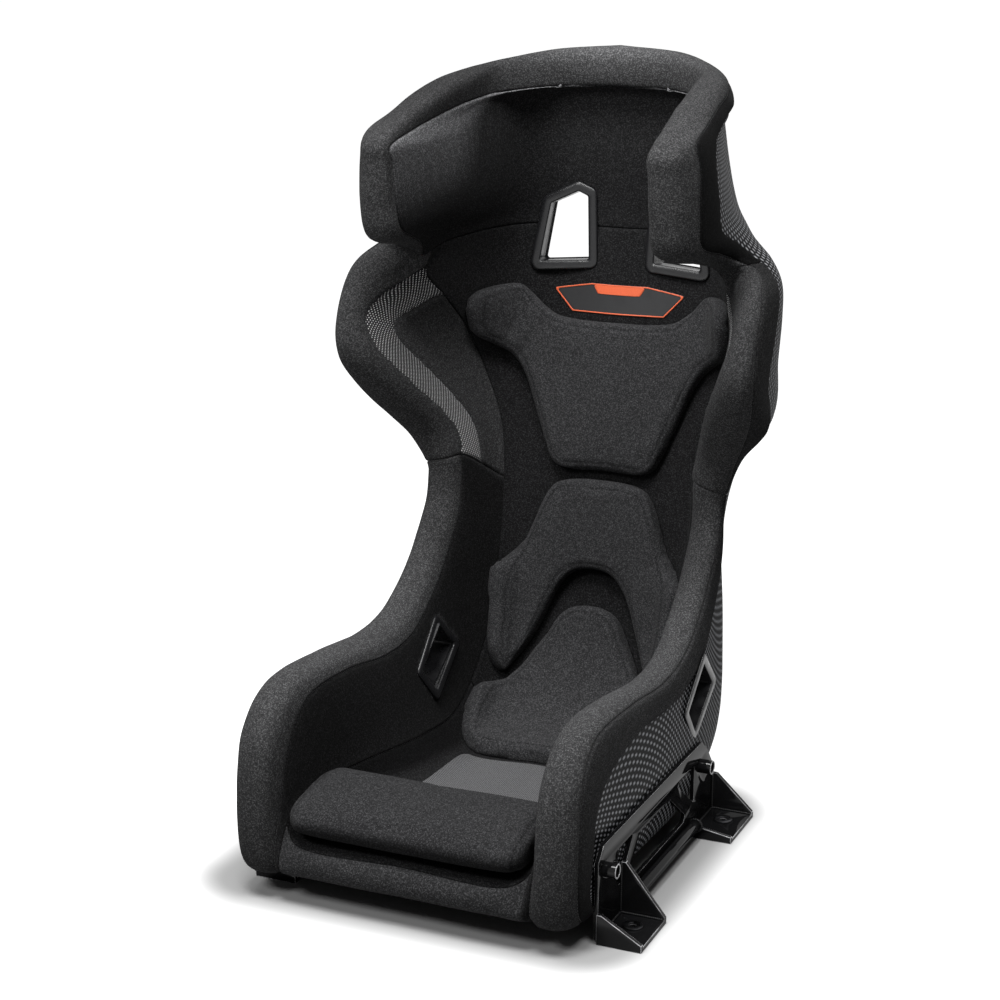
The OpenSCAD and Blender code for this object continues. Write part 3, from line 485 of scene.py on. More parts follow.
def tow_bulge(share, wide, long):
    """The rounded top of a tow where it shows."""
    bulge = calc(tow_weave, "MULTIPLY", calc(tow_weave, "POWER", wide, 0.8), long)
    return calc(tow_weave, "MULTIPLY", share, bulge)


warp, weft = tow_bulge(over, arc_x, arc_y), tow_bulge(under, arc_y, arc_x)
grain = calc(tow_weave, "MULTIPLY_ADD", mottling(tow_weave, tows, 6.0), 1.2, 0.4)
# painted highlight: the crowns of the tows on top are made light in the colour, standing for the lamps' glint
painted_crown_highlight = calc(tow_weave, "MULTIPLY", grain, calc(tow_weave, "POWER", warp, 1.6))
dull = calc(tow_weave, "MULTIPLY_ADD", weft, 0.12, 0.12)
give(Tone=calc(tow_weave, "ADD", calc(tow_weave, "MULTIPLY", painted_crown_highlight, 8.5), dull),
     Height=calc(tow_weave, "ADD", warp, calc(tow_weave, "MULTIPLY", weft, 0.8)))

# what handling leaves: faint smears that dull the gloss
smears, given, give = effect("smears", [("Place", "Vector", None), ("Size", "Float", 30.0),
                                        ("Low", "Float", 0.1), ("High", "Float", 0.3)],
                             [("Roughness", "Float")])
blot = node(smears, "ShaderNodeTexNoise", given["Place"])
smears.links.new(given["Size"], blot.inputs["Scale"])
blot.inputs["Detail"].default_value = 4.0
spread_out = node(smears, "ShaderNodeMapRange", blot.outputs[0], 0.35, 0.7)
smears.links.new(given["Low"], spread_out.inputs["To Min"])
smears.links.new(given["High"], spread_out.inputs["To Max"])
give(Roughness=spread_out.outputs[0])



def smeared(tree, into, size, low, high):
    """Lets the roughness wander between low and high, and gives the coordinates that it reads."""
    place = node(tree, "ShaderNodeTexCoord").outputs["Object"]
    made = placed(tree, smears, Place=place, Size=size, Low=low, High=high)
    tree.links.new(made["Roughness"], into["Roughness"])
    return place


carbon, tree, into = finish("clear_coated_carbon", coat_weight=0.09, coat_roughness=0.15,
                            specular_ior_level=0.0)
weave = placed(tree, tow_weave, Cloth=node(tree, "ShaderNodeUVMap", uv_map="cloth").outputs[0], Tow=TOW)
shade(tree, (0.05, 0.051, 0.054), weave["Tone"], into["Base Color"])
raised(tree, weave["Height"], 0.00035, into["Normal"], 0.6)
smeared(tree, into, 25.0, 0.28, 0.42)


def fit(obj, material, slot, *nodes):
    """Gives a piece its finish and its place on the seat, where it stands for those CAD nodes."""
    obj.data.materials.clear()
    obj.data.materials.append(material)
    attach(obj, "root")
    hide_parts(*nodes)
    return obj


u = np.linspace(0, 29, 29 * 8 + 1)[:, None]
half = np.concatenate([np.linspace(a, a + 1, steps + 1)[:-1]
                       for a, steps in ((6, 3), (7, 10), (8, 16), (9, 14))] + [[10.0]])
v = np.concatenate([half, -half[-2::-1]])[None]
skin = shell_outside(u, v)
middle = slice(len(half) - 1, len(half))
cloth = np.stack([run_lengths(skin, 1) - run_lengths(skin, 1)[:, middle],
                  run_lengths(skin, 0)[:, middle] + 0 * v], -1) / 1000
shell = sheet_solid("carbon_shell", shell_inside(u, v), skin, cloth)
cut_out(shell, both_sides([
    shoulder_hole, prism(shoulder_rear, rounded(SHOULDER_SLOT, -GAP, 12), -GAP, 30),
    lap_hole, *insert_holes]) + [crotch_hole])
shell.data.shade_smooth()
shell.data.set_sharp_from_angle(angle=math.radians(38))
fit(shell, carbon, "carbon", "shell")

# ---- Lining ----
# Black knitted cover over thin foam, laid on the inside of the shell from under the front lip to the
# brow. It is sewn from four panels, whose edges are folded under and pulled down into the seams.

SEAM_DEEP, SEAM_ROUND = 2.0, 3.6
# the seams across the seat, as u, and half the slit between two panels, in u and v
LIP_SEAM, HIP_SEAM, WAIST_SEAM, NECK_SEAM, BROW, CROWN = 2, 9, 12, 18.5, 29, 30
SLIT = 0.004


def spread(length, fine=0.9, coarse=5.5):
    """Shares of a length at which a panel has its mesh lines, close together at both ends."""
    steps, step = [0.0], fine
    while sum(steps) < length / 2:
        steps.append(step)
        step = min(step * 1.5, coarse)
    half = np.cumsum(steps) * (0.5 / sum(steps))
    return np.concatenate([half, 1 - half[-2::-1]])


def panel_lines(place, u_breaks, v_breaks):
    """u and v of a panel's mesh points, evenly spaced on the cloth between its seams."""
    rows = []
    for a, b in zip(u_breaks, u_breaks[1:]):
        fine = np.linspace(a, b, 300)
        run = run_lengths(place(fine, (v_breaks[0] + v_breaks[-1]) / 2), 0)
        rows.append(np.interp(spread(run[-1]) * run[-1], run, fine)[(1 if rows else 0):])
    rows = np.concatenate(rows)
    columns = []
    for a, b in zip(v_breaks, v_breaks[1:]):
        fine = np.linspace(a, b, 90)
        run = run_lengths(place(rows[:, None], fine[None]), 1)
        shares = spread(run[:, -1].mean())
        columns.append(np.array([np.interp(shares * r[-1], r, fine) for r in run])[:, (1 if columns else 0):])
    columns = np.concatenate(columns, 1)
    return np.repeat(rows[:, None], columns.shape[1], 1), columns


def ripples(points, size, seed):
    """Slow waves of that size over the points, from -1 to 1."""
    return np.array([noise.noise(Vector(p) / size + Vector((seed, 0, 0))) for p in points.reshape(-1, 3)]
                    ).reshape(points.shape[:-1])


def keep(mesh, name, values):
    """Stores a vector for each vertex, or a number three times over."""
    if values.ndim == 1:
        values = np.repeat(values[:, None], 3, 1)
    layer = mesh.attributes.get(name) or mesh.attributes.new(name, "FLOAT_VECTOR", "POINT")
    layer.data.foreach_set("vector", np.asarray(values, np.float32).ravel())


def sewn_panel(name, place, core, u_breaks, v_breaks, puff=0.9, slack=0.7, pressed=None, painted_tone=None):
    """A padded panel with its edges turned down into its seams, and its face as a grid of points.

    place gives the points of its face at u, v and core those of its back. It stands puff higher between its
    seams, wanders by about slack, is pressed in or out by the second last function, and gets a painted tone,
    mostly painted light and shade, from the last.
    """
    u, v = panel_lines(place, u_breaks, v_breaks)
    flat = place(u, v)
    across, along = run_lengths(flat, 1), run_lengths(flat, 0)
    normal = unit(np.cross(np.gradient(flat, axis=1), np.gradient(flat, axis=0)))
    back = core(u, v)
    normal *= np.sign((normal * (flat - back)).sum())
    edge = np.minimum.reduce([across, across[:, -1:] - across, along, along[-1:] - along])
    fold = np.clip(1 - edge / SEAM_ROUND, 0, 1)
    lie = puff * (1 - np.exp(-edge / 14)) - SEAM_DEEP * (1 - np.sqrt(1 - fold ** 2))
    inner = [np.abs(across - across[:, [np.argmin(np.abs(v.mean(0) - b))]]) for b in v_breaks[1:-1]] \
        + [np.abs(along - along[[np.argmin(np.abs(u[:, 0] - b))]]) for b in u_breaks[1:-1]]
    for gap in inner:
        lie -= 1.5 * np.exp(-(gap / 1.5) ** 2) + puff * 0.6 * np.exp(-gap / 9)
    lie += slack * (ripples(flat, 70, 3) + 0.35 * ripples(flat, 26, 9)) * np.clip(edge / 12, 0, 1)
    lie += 0.22 * np.sin(along / 5.5 + 4 * ripples(flat, 40, 5)) * np.exp(-edge / 6) * np.clip(edge / 3, 0, 1)
    if pressed is not None:
        lie += pressed(u, v, flat)
    face = flat + lie[..., None] * normal
    cloth = np.stack([across - across[:, -1:] / 2, along], -1) / 1000
    made = sheet_solid(name, face, back, cloth)
    if painted_tone is not None:
        # keeps the painted tone for each vertex, mostly painted light and shade
        keep(made.data, "painted_tone", np.tile(painted_tone(u, np.abs(v)).ravel(), 2))
    return made, face, normal, u, v


# fine knit: one cell for each loop of yarn, some lighter and some darker, with slow blotches over them and
# painted shade in the hollows between the loops
LOOP = 0.0011
knit, given, give = effect("knit", [("Place", "Vector", None), ("Loop", "Float", LOOP),
                                    ("Speckle", "Float", 1.6)], [("Tone", "Float"), ("Height", "Float")])
loops, _, _ = over_cloth(knit, given["Place"], given["Loop"])
cell = node(knit, "ShaderNodeTexVoronoi", loops, voronoi_dimensions="3D")
cell.inputs["Scale"].default_value = 1.0
cell.inputs["Randomness"].default_value = 0.75
lightness = node(knit, "ShaderNodeSeparateColor", cell.outputs["Color"]).outputs[0]
bright_loops = calc(knit, "SUBTRACT", calc(knit, "POWER", lightness, 3.0), 0.25)
speck = calc(knit, "MULTIPLY", bright_loops, given["Speckle"])
blotch = calc(knit, "MULTIPLY_ADD", mottling(knit, loops, 0.12, 3.0), 0.16, -0.08)
tone = calc(knit, "MAXIMUM", calc(knit, "ADD", calc(knit, "ADD", speck, blotch), 1.0), 0.1)
# painted shade: the knit is drawn darker towards the edge of each loop, in the hollows between loops
shade_between_loops = calc(knit, "MULTIPLY_ADD", cell.outputs["Distance"], -0.7, 1.32)
give(Tone=calc(knit, "MULTIPLY", tone, shade_between_loops), Height=calc(knit, "SUBTRACT", 1.0, cell.outputs["Distance"]))


def vertex_number(tree, name):
    """The number that a mesh keeps for each vertex by that name, or 0 where it keeps none."""
    mark = node(tree, "ShaderNodeAttribute", attribute_name=name)
    return node(tree, "ShaderNodeSeparateXYZ", mark.outputs["Vector"]).outputs[0]


def knitted(name, colour, speckle=1.6, sheen=0.02):
    """Cloth of fine black knit, made lighter or darker by the tone painted on each vertex, mostly painted
    light and shade, and with painted shade in the fold of a seam.
    """
    material, tree, into = finish(name, roughness=0.92, specular_ior_level=0.0, sheen_weight=sheen,
                                  sheen_roughness=0.55)
    place = node(tree, "ShaderNodeTexCoord").outputs["Object"]
    made = placed(tree, knit, Place=place, Loop=LOOP, Speckle=speckle)
    # the tone painted on each vertex, mostly painted light and shade, and painted shade along the seams
    lie = calc(tree, "ADD", vertex_number(tree, "painted_tone"), 1.0)
    fold = calc(tree, "MULTIPLY_ADD", vertex_number(tree, "seam"), -0.35, 1.0)
    tone = calc(tree, "MULTIPLY", calc(tree, "MULTIPLY", made["Tone"], lie), fold)
    shade(tree, colour, tone, into["Base Color"])
    raised(tree, made["Height"], 0.0004, into["Normal"], 0.5)
    return material


lining_knit = knitted("lining_knit", (0.0145, 0.0145, 0.015))


def shell_face(u, v):
    """The lining's own back, which lies on the shell, paired with v on its face."""
    w = np.abs(v)
    return shell_inside(u, np.where(v < 0, -1, 1) * (10 - np.where(w < 2, 0.75 * w, w - 0.5)), GAP)


def head_painted_light(u, v):
    """Painted light on the head lining: a little lighter over its upper part and much lighter on the cheeks
    beside the head, which the light falls on.
    """
    return (0.85 + 8.0 * np.clip((v - 2.1) / 0.25, 0, 1)) * np.clip((u - 21.5) / 3, 0, 1)


def lip_lightened(u, v):
    """How much lighter the lip's knit is drawn, the same all over."""
    return 1.1 + 0 * u


def seat_wall_painted_shade(u, v):
    """Painted shade on the seat's side walls: how much darker their knit is drawn."""
    return -0.6 * np.clip((v - 1.1) / 0.3, 0, 1) * np.clip((HIP_SEAM - u) / 1.5, 0, 1)


lining = {}
for name, low, high, reach_v, puff, painted_tone in (("front_lip", 0, LIP_SEAM, 2, 0.8, lip_lightened),
                                            ("seat_lining", LIP_SEAM, HIP_SEAM, 2, 0.8, seat_wall_painted_shade),
                                            ("back_lining", HIP_SEAM, NECK_SEAM, 2, 0.8, None),
                                            ("head_lining", NECK_SEAM, BROW, 3, 0.5, head_painted_light)):
    lining[name] = sewn_panel(name + "_cover", surface, shell_face, (low + SLIT, high - SLIT),
                              (-reach_v + SLIT, reach_v - SLIT), puff, painted_tone=painted_tone)[0]
shoulder_recess = prism(shoulder_front, rounded(SHOULDER_SLOT, -GAP, 12), 0, 30)
for name in ("back_lining", "head_lining"):
    cut_out(lining[name], both_sides([shoulder_hole, shoulder_recess]))
crotch_recess = prism(shifted(0, CROTCH_Y, CROTCH_TOP) @ turned(-5, 0, 0),
                      rounded(rectangle(104.8, 40.8), 0, 3), -GAP, 20)
cut_out(lining["seat_lining"], [crotch_hole, crotch_recess])
for name, made in lining.items():
    made.data.set_sharp_from_angle(angle=math.radians(50))
    fit(made, lining_knit, "lining_cloth", name)

# ---- Rolls of padding round the shell's edge ----
# Thick foam rolls under the same knit: one along each thigh, one on each shoulder, and one that runs
# up the left wing of the head restraint, over the crown and down the right wing. Each wraps round
# the shell's edge, is sewn along its outer side, and ends glued to the carbon.


def roll_back(u, v):
    """The face of a roll that lies on the shell, paired with v from 2 to 7 on its cover."""
    s, edge, inward = section(u), rim(u), rim_inward(u)
    crest = (s[..., 4, :] + s[..., 5, :]) / 2 - edge
    over = unit(crest - (crest * inward).sum(-1, keepdims=True) * inward)
    high = (u > BROW)[..., None]
    low = np.where(high, edge + (SHELL_THICK + 2 * GAP) * inward, shell_inside(u, 7.5 + 0 * u, GAP))
    seven = 7.0 + 0 * u
    p = np.stack([shell_inside(np.minimum(u, BROW), 8.5 + 0 * u, GAP), low,
                  edge + (SHELL_THICK + GAP) * inward + over, edge + 2 * over, edge - GAP * inward,
                  surface(u, seven) + (GAP - COVER_THICK) * outward(u, seven)], -2)
    i = np.clip(np.floor(v).astype(int) - 2, 0, 4)
    a = np.take_along_axis(p, i[..., None, None], -2)[..., 0, :]
    b = np.take_along_axis(p, i[..., None, None] + 1, -2)[..., 0, :]
    return mix(a, b, (v - 2 - i)[..., None])


def halo_side(shape):
    """The same surface with u running on past the crown and down the other side."""
    def at(t, v):
        t, v = np.broadcast_arrays(np.asarray(t, float), np.asarray(v, float))
        p = shape(CROWN - np.abs(t), v)
        return np.where((t < 0)[..., None], p * MIRROR, p)
    return at


# inner and outer edge of the shoulder's mesh stripe as u, v on the surface, from the waist upward
stripe_edges = np.array([
    [12.02, 2.5, 12.02, 2.97], [13, 2.55, 13, 2.97], [14, 2.62, 14, 2.97], [14.8, 2.66, 14.9, 2.97],
    [15.3, 2.64, 15.7, 2.97], [15.55, 2.55, 16.6, 2.93], [15.75, 2.35, 17.1, 2.79], [15.95, 2.15, 17.3, 2.45],
    [16, 2.0, 17.3, 2.02]])


def eased(table, count):
    """A smooth curve through a table's rows, with that many steps between two rows."""
    t = np.linspace(0, len(table) - 1, (len(table) - 1) * count + 1)
    i = np.clip(np.floor(t).astype(int), 0, len(table) - 2)
    f = (t - i)[:, None]
    full = np.concatenate([2 * table[:1] - table[1:2], table, 2 * table[-1:] - table[-2:-1]])
    return through(*(full[i + k] for k in range(4)), f)


stripe = eased(stripe_edges, 9)
stripe_border = np.concatenate([stripe[:, :2], stripe[::-1, 2:]])


def round_the_stripe(u, v, flat):
    """The cover puffs up beside the mesh stripe and is held down under it."""
    line = surface(stripe_border[:, 0], stripe_border[:, 1])
    far = np.min(np.linalg.norm(flat[:, :, None] - line[None, None], axis=-1), -1)
    a, b = stripe_border, np.roll(stripe_border, -1, 0)
    inside = np.zeros(u.shape, bool)
    for p, q in zip(a, b):
        crosses = (p[0] > u) != (q[0] > u)
        inside ^= crosses & (v < (q[1] - p[1]) * (u - p[0]) / (q[0] - p[0] + 1e-12) + p[1])
    return np.where(inside, -2.0 * np.clip(far / 2, 0, 1), 1.1 * np.exp(-((far - 5) / 6) ** 2)) \
        - 1.2 * np.exp(-(far / 1.6) ** 2)


def roll_painted_light_and_shade(u, v):
    """Painted light and shade on the rolls: darker on their inner and outer sides and lighter along the
    thighs' crests.
    """
    inner = np.interp(u, [WAIST_SEAM - 0.1, WAIST_SEAM + 0.1, 14, 16.5], [0.72, -0.1, 0.1, 0.7])
    seam = np.where(u < WAIST_SEAM, 3.12, 2.6)
    crest = np.clip((v - 3) / 0.12, 0, 1) * np.interp(u, [1, 3, 5, 7.5, 9], [-0.4, 0.1, 0.5, 0.3, 0])
    return -inner * np.clip((seam - v) / 0.12, 0, 1) - 0.45 * np.clip((v - 5.9) / 0.15, 0, 1) + crest


def halo_painted_light_and_shade(t, v):
    """Painted light and shade on the head restraint's roll: darkest outside its wings, lightest over the
    crown and a little darker left of the crown.
    """
    crown = 0.85 * np.exp(-(t / 1.3) ** 2) * np.clip((v - 3) / 0.6, 0, 1)
    crown -= 0.35 * np.exp(-((t + 3.5) / 1.8) ** 2)
    return crown - 0.85 * np.clip((v - 5.9) / 0.15, 0, 1) * np.clip((np.abs(t) - 1.5) / 2, 0, 1)


cover_knit = knitted("cover_knit", (0.042, 0.042, 0.043))
rolls, seams = {}, {}
for name, low, high, columns, pressed in (
        ("thigh_bolster", 0, WAIST_SEAM, (2 + SLIT, 3, 6, 7), None),
        ("shoulder_bolster", WAIST_SEAM, NECK_SEAM, (2 + SLIT, 6, 7), round_the_stripe)):
    rolls[name + "_right"], *seams[name] = sewn_panel(name + "_right_cover", surface, roll_back,
                                                      (low + SLIT, high - SLIT), columns, 1.2, 0.9, pressed,
                                                      roll_painted_light_and_shade)
HALO_END = CROWN - NECK_SEAM - SLIT
halo, *seams["halo_cover"] = sewn_panel("head_restraint_roll", halo_side(surface), halo_side(roll_back),
                                        (-HALO_END, HALO_END), (3 + SLIT, 6, 7), 1.2, 0.8, painted_tone=halo_painted_light_and_shade)
LAP_OUTSIDE = 217.5
lap_recesses = [lap_hole, prism(lap_wall, rounded(LAP_SLOT, -GAP, 8), -40, GAP),
                prism(lap_side(LAP_OUTSIDE - GAP), rounded(LAP_SLOT, -GAP, 8), 0, 30)]
cut_out(rolls["thigh_bolster_right"], lap_recesses + [(p + [8, 0, 0], f) for p, f in insert_holes])


def other_side(obj, name):
    """The same piece for the left side of the seat."""
    mesh = obj.data.copy()
    mesh.name = name
    mesh.transform(Matrix.Scale(-1, 4, (1, 0, 0)))
    mesh.flip_normals()
    return stand(name, mesh)


for name, made in list(rolls.items()):
    rolls[name.replace("right", "left")] = other_side(made, made.name.replace("right", "left"))
rolls["halo_cover"] = halo
for name, made in rolls.items():
    made.data.set_sharp_from_angle(angle=math.radians(50))
    fit(made, cover_knit, "cover_cloth", name)

# ---- Shoulder mesh ----
# A stripe of open spacer mesh let into each shoulder roll, from the waist seam to the lining, so that
# the padding can breathe. It is sewn in flush, with the knit puffed up along its edges.

# rows of knots, each row set off by half a cell from the next
spacer, given, give = effect(
    "spacer mesh", [("Cloth", "Vector", None), ("Cell", "Float", 0.004), ("Knot", "Float", 0.26)],
    [("Thread", "Float"), ("Height", "Float")])
cells, across, along = over_cloth(spacer, given["Cloth"], given["Cell"])
level = calc(spacer, "MULTIPLY", along, 1.6)
offset = calc(spacer, "MULTIPLY", calc(spacer, "FLOORED_MODULO", calc(spacer, "FLOOR", level), 2.0), 0.5)
side = calc(spacer, "SUBTRACT", calc(spacer, "FRACT", calc(spacer, "ADD", across, offset)), 0.5)
tall = calc(spacer, "MULTIPLY", calc(spacer, "SUBTRACT", calc(spacer, "FRACT", level), 0.5), 0.7)


def hypotenuse(tree, a, b):
    return calc(tree, "SQRT", calc(tree, "ADD", calc(tree, "POWER", a, 2.0), calc(tree, "POWER", b, 2.0)))


knot = node(spacer, "ShaderNodeMapRange", hypotenuse(spacer, side, tall), given["Knot"],
            calc(spacer, "MULTIPLY", given["Knot"], 0.38), interpolation_type="SMOOTHSTEP").outputs[0]
fibre = calc(spacer, "MULTIPLY_ADD", mottling(spacer, cells, 1.7), 1.6, 0.4)
give(Thread=calc(spacer, "MULTIPLY", knot, fibre), Height=knot)


def meshed(name, dark, light, cell, knot=0.26):
    """Open mesh: light knots of thread, at that share of a cell, over a dark backing, each knot's share
    raised by the tone painted on its vertices.
    """
    material, tree, into = finish(name, roughness=0.8, specular_ior_level=0.0, sheen_weight=0.1,
                                  sheen_roughness=0.5)
    cloth = node(tree, "ShaderNodeUVMap", uv_map="cloth").outputs[0]
    made = placed(tree, spacer, Cloth=cloth, Cell=cell, Knot=knot)
    blended = node(tree, "ShaderNodeMix", data_type="RGBA")
    for socket in blended.inputs:
        if socket.name in "AB" and socket.type == "RGBA":
            socket.default_value = (*(dark if socket.name == "A" else light), 1)
    # the knots' share plus the tone painted on each vertex
    share = calc(tree, "ADD", made["Thread"], vertex_number(tree, "painted_tone"))
    tree.links.new(share, blended.inputs["Factor"])
    tree.links.new([o for o in blended.outputs if o.type == "RGBA"][0], into["Base Color"])
    raised(tree, made["Height"], 0.0006, into["Normal"], 0.7)
    return material


stripe_mesh = meshed("stripe_mesh", (0.006, 0.006, 0.007), (1.0, 1.0, 1.0), 0.0048, 0.2)
width = np.concatenate([[0], np.linspace(0.02, 0.98, 11), [1]])[None, :, None]
uv = mix(stripe[:, None, :2], stripe[:, None, 2:], width)
flat = surface(uv[..., 0], uv[..., 1])
way = outward(uv[..., 0], uv[..., 1])
across, along = run_lengths(flat, 1), run_lengths(flat, 0)
edge = np.minimum(across, across[:, -1:] - across)
lift = np.where(edge < 0.5, -1.6, -0.2 + 0.5 * np.clip(edge / 8, 0, 1))
made = sheet_solid("shoulder_mesh_right_stripe", flat + lift[..., None] * way, flat - 1.9 * way,
                   np.stack([across - across[:, -1:] / 2, along], -1) / 1000)
# the stripe is drawn lighter towards its lower end
keep(made.data, "painted_tone", np.tile(np.interp(uv[..., 0], [11.5, 14, 17], [0.11, 0.06, 0.0]).ravel(), 2))
for obj, side_name in ((made, "right"), (other_side(made, "shoulder_mesh_left_stripe"), "left")):
    fit(obj, stripe_mesh, "mesh_cloth", "shoulder_mesh_" + side_name)

# ---- Seat mesh ----
# A flat mat of grey spacer mesh on the seat's lining, from under the leg cushion back to the hip.
# It is glued down, with its edges pressed thin.

run_u = np.linspace(3, 19, 257)
run_mm = run_lengths(section(run_u)[:, 0], 0)
run_mm -= np.interp(8, run_u, run_mm)


def on_lining(x, run, lift):
    """Points at x across and run along the lining, measured from the hip, lifted off its face."""
    x, run, lift = np.broadcast_arrays(np.asarray(x, float), np.asarray(run, float), np.asarray(lift, float))
    u = np.interp(run, run_mm, run_u)
    s = section(u)
    a, x1, x2, x3 = np.abs(x), s[..., 1, 0], s[..., 2, 0], s[..., 3, 0]
    v = np.where(a < x1, a / x1, np.where(a < x2, 1 + (a - x1) / (x2 - x1), 2 + (a - x2) / (x3 - x2)))
    v = v * np.where(x < 0, -1, 1)
    return surface(u, v) + lift[..., None] * outward(u, v)


seat_mat = meshed("seat_mat_mesh", (0.045, 0.045, 0.047), (0.35, 0.35, 0.36), 0.0031)
rows = eased(np.array([[-238.0, 81], [-200, 84], [-140, 92], [-80, 100], [-46, 104], [-30, 98]]), 8)
width = np.concatenate([[-1, -0.99], np.linspace(-0.97, 0.97, 33), [0.99, 1]])
x = rows[:, 1:] * width
run = rows[:, :1] + 0 * x
edge = np.minimum(rows[:, 1:] - np.abs(x), (rows[-1, 0] - rows[:, :1]) + 0 * x)
lift = 0.9 + 1.7 * (1 - np.exp(-edge / 2.5)) + 0.25 * ripples(np.stack([x, run, 0 * x], -1), 45, 2)
made = sheet_solid("seat_mesh_mat", on_lining(x, run, lift), on_lining(x, run, 0.9 * GAP),
                   np.stack([x, run], -1) / 1000)
fit(made, seat_mat, "mesh_cloth", "seat_mesh")

# ---- Back pads ----
# Three moulded foam pads with a charcoal knit bonded over them, held on the lining by hook and loop:
# the winged upper pad, the arched lumbar pad and the lower pad under the arch. A fine seam joins
# each pad's face to its side.


def smooth_outline(points, step=4.5):
    """An even closed curve through the points."""
    p = np.array(points, float)
    t = np.linspace(0, 1, 13)[:-1, None]
    dense = through_uneven(*(np.roll(p, k, 0)[:, None] for k in (1, 0, -1, -2)), t).reshape(-1, 2)
    dense = np.concatenate([dense, dense[:1]])
    run = run_lengths(dense, 0)
    even = np.linspace(0, run[-1], int(run[-1] / step) + 1)[:-1]
    return np.stack([np.interp(even, run, dense[:, k]) for k in (0, 1)], -1)


def from_outline(outline, points):
    """How far each point lies inside an outline, the outline's nearest point, and the way in from it."""
    a, b = outline, np.roll(outline, -1, 0)
    side = b - a
    area = sum(p[0] * q[1] - p[1] * q[0] for p, q in zip(a, b))
    way_in = unit(np.stack([-side[:, 1], side[:, 0]], -1)) * np.sign(area)
    t = np.clip(((points[:, None] - a) * side).sum(-1) / (side ** 2).sum(-1), 0, 1)
    near = a + t[..., None] * side
    far = np.linalg.norm(points[:, None] - near, axis=-1)
    i = far.argmin(1)
    pick = np.arange(len(points))
    signed = far[pick, i] * np.where(((points - near[pick, i]) * way_in[i]).sum(-1) < -0.01, -1, 1)
    direction = np.where((signed > 0.4)[:, None], unit(points - near[pick, i]), way_in[i])
    return signed, near[pick, i], direction


def plain_copy(obj, cell):
    """Even mesh over a closed shape, with the steps of its cells smoothed out."""
    remesh = obj.modifiers.new("even", "REMESH")
    remesh.mode, remesh.voxel_size = "VOXEL", cell
    soften = obj.modifiers.new("soften", "SMOOTH")
    soften.factor, soften.iterations = 0.5, 6
    return settled(obj)


def vectors(owner, what):
    """One vector for each of a mesh's vertices: its place, its normal, or what an attribute keeps."""
    values = np.empty(len(owner) * 3, np.float32)
    owner.foreach_get(what, values)
    return values.reshape(-1, 3).astype(float)


def move_vertices(mesh, places):
    mesh.vertices.foreach_set("co", places.astype(np.float32).ravel())


def inflate(obj, held, cap, pressure=4.0, frames=20):
    """Lets the pad's foam push its cover out from inside, held where it is fixed down, by at most cap."""
    rest = vectors(obj.data.vertices, "co")
    group = obj.vertex_groups.new(name="held")
    group.add([int(i) for i in np.flatnonzero(held)], 1.0, "REPLACE")
    cloth = obj.modifiers.new("cover", "CLOTH")
    cloth.settings.use_pressure = True
    cloth.settings.uniform_pressure_force = pressure
    cloth.settings.vertex_group_mass = "held"
    cloth.settings.effector_weights.gravity = 0.0
    cloth.collision_settings.use_self_collision = False
    cloth.point_cache.frame_start, cloth.point_cache.frame_end = 1, frames
    for frame_number in range(1, frames + 1):
        bpy.context.scene.frame_set(frame_number)
    settled(obj)
    bpy.context.scene.frame_set(1)
    move = vectors(obj.data.vertices, "co") - rest
    length = np.linalg.norm(move, axis=1, keepdims=True)
    move *= cap * np.tanh(length / cap) / np.maximum(length, 1e-9)
    move_vertices(obj.data, rest + move)
    obj.vertex_groups.clear()


def finely(obj):
    """The object with each face split once and smoothed."""
    smooth = obj.modifiers.new("fine", "SUBSURF")
    smooth.levels = smooth.render_levels = 1
    return settled(obj)


def pad(name, outline, height, edge, crown):
    """A foam pad of that outline and height, its top edge rounded over, lying on the lining."""
    blank = plain_copy(piece(name, *prism(shifted(0, 0, 0), outline, 0, height)), 0.004)
    flat = to_table(vectors(blank.data.vertices, "co"))
    inside, near, way_in = from_outline(outline, flat[:, :2])
    a, b = edge - inside, flat[:, 2] - (height - edge)
    corner = (a > 0) & (b > 0)
    shrink = np.where(corner, edge / np.maximum(np.hypot(a, b), 1e-6), 1)
    xy = np.where(corner[:, None], near + way_in * (edge - a * shrink)[:, None], flat[:, :2])
    z = np.where(corner, height - edge + b * shrink, flat[:, 2])
    top = np.clip(z / height, 0, 1) ** 2
    z = z + crown * top * (1 - np.exp(-np.maximum(inside, 0) / 45))
    keep(blank.data, "blank", np.c_[xy, z])
    move_vertices(blank.data, to_seat(on_lining(xy[:, 0], xy[:, 1], np.maximum(z, 0) + GAP)))
    inflate(blank, z < 3, 0.0022)
    finely(blank)
    flat = vectors(blank.data.attributes["blank"].data, "vector")
    co, normals = vectors(blank.data.vertices, "co"), vectors(blank.data.vertices, "normal")
    inside = from_outline(outline, flat[:, :2])[0]
    face = flat[:, 2] > height * 0.7
    seam = np.where(face, np.exp(-((inside - edge) / 1.7) ** 2), 0)
    drop = -0.0007 * seam + 0.0005 * np.where(face, np.exp(-((inside - edge - 6) / 5) ** 2), 0)
    drop += 0.0003 * ripples(co * 1000, 38, 4)
    move_vertices(blank.data, co + normals * drop[:, None])
    # painted shade along the seam's fold, which the knit material reads
    keep(blank.data, "seam", seam)
    lay_cloth(blank.data, (flat[:, :2] + (height - flat[:, 2:]) * 0.7) / 1000)
    blank.data.shade_smooth()
    blank.data.update()
    return blank


def mirrored_outline(half):
    """The outline whose right half runs from one point on the middle line to another."""
    return half + [[-x, y] for x, y in half[-2:0:-1]]


pad_knit = knitted("pad_knit", (0.038, 0.038, 0.0395), 1.5, 0.03)

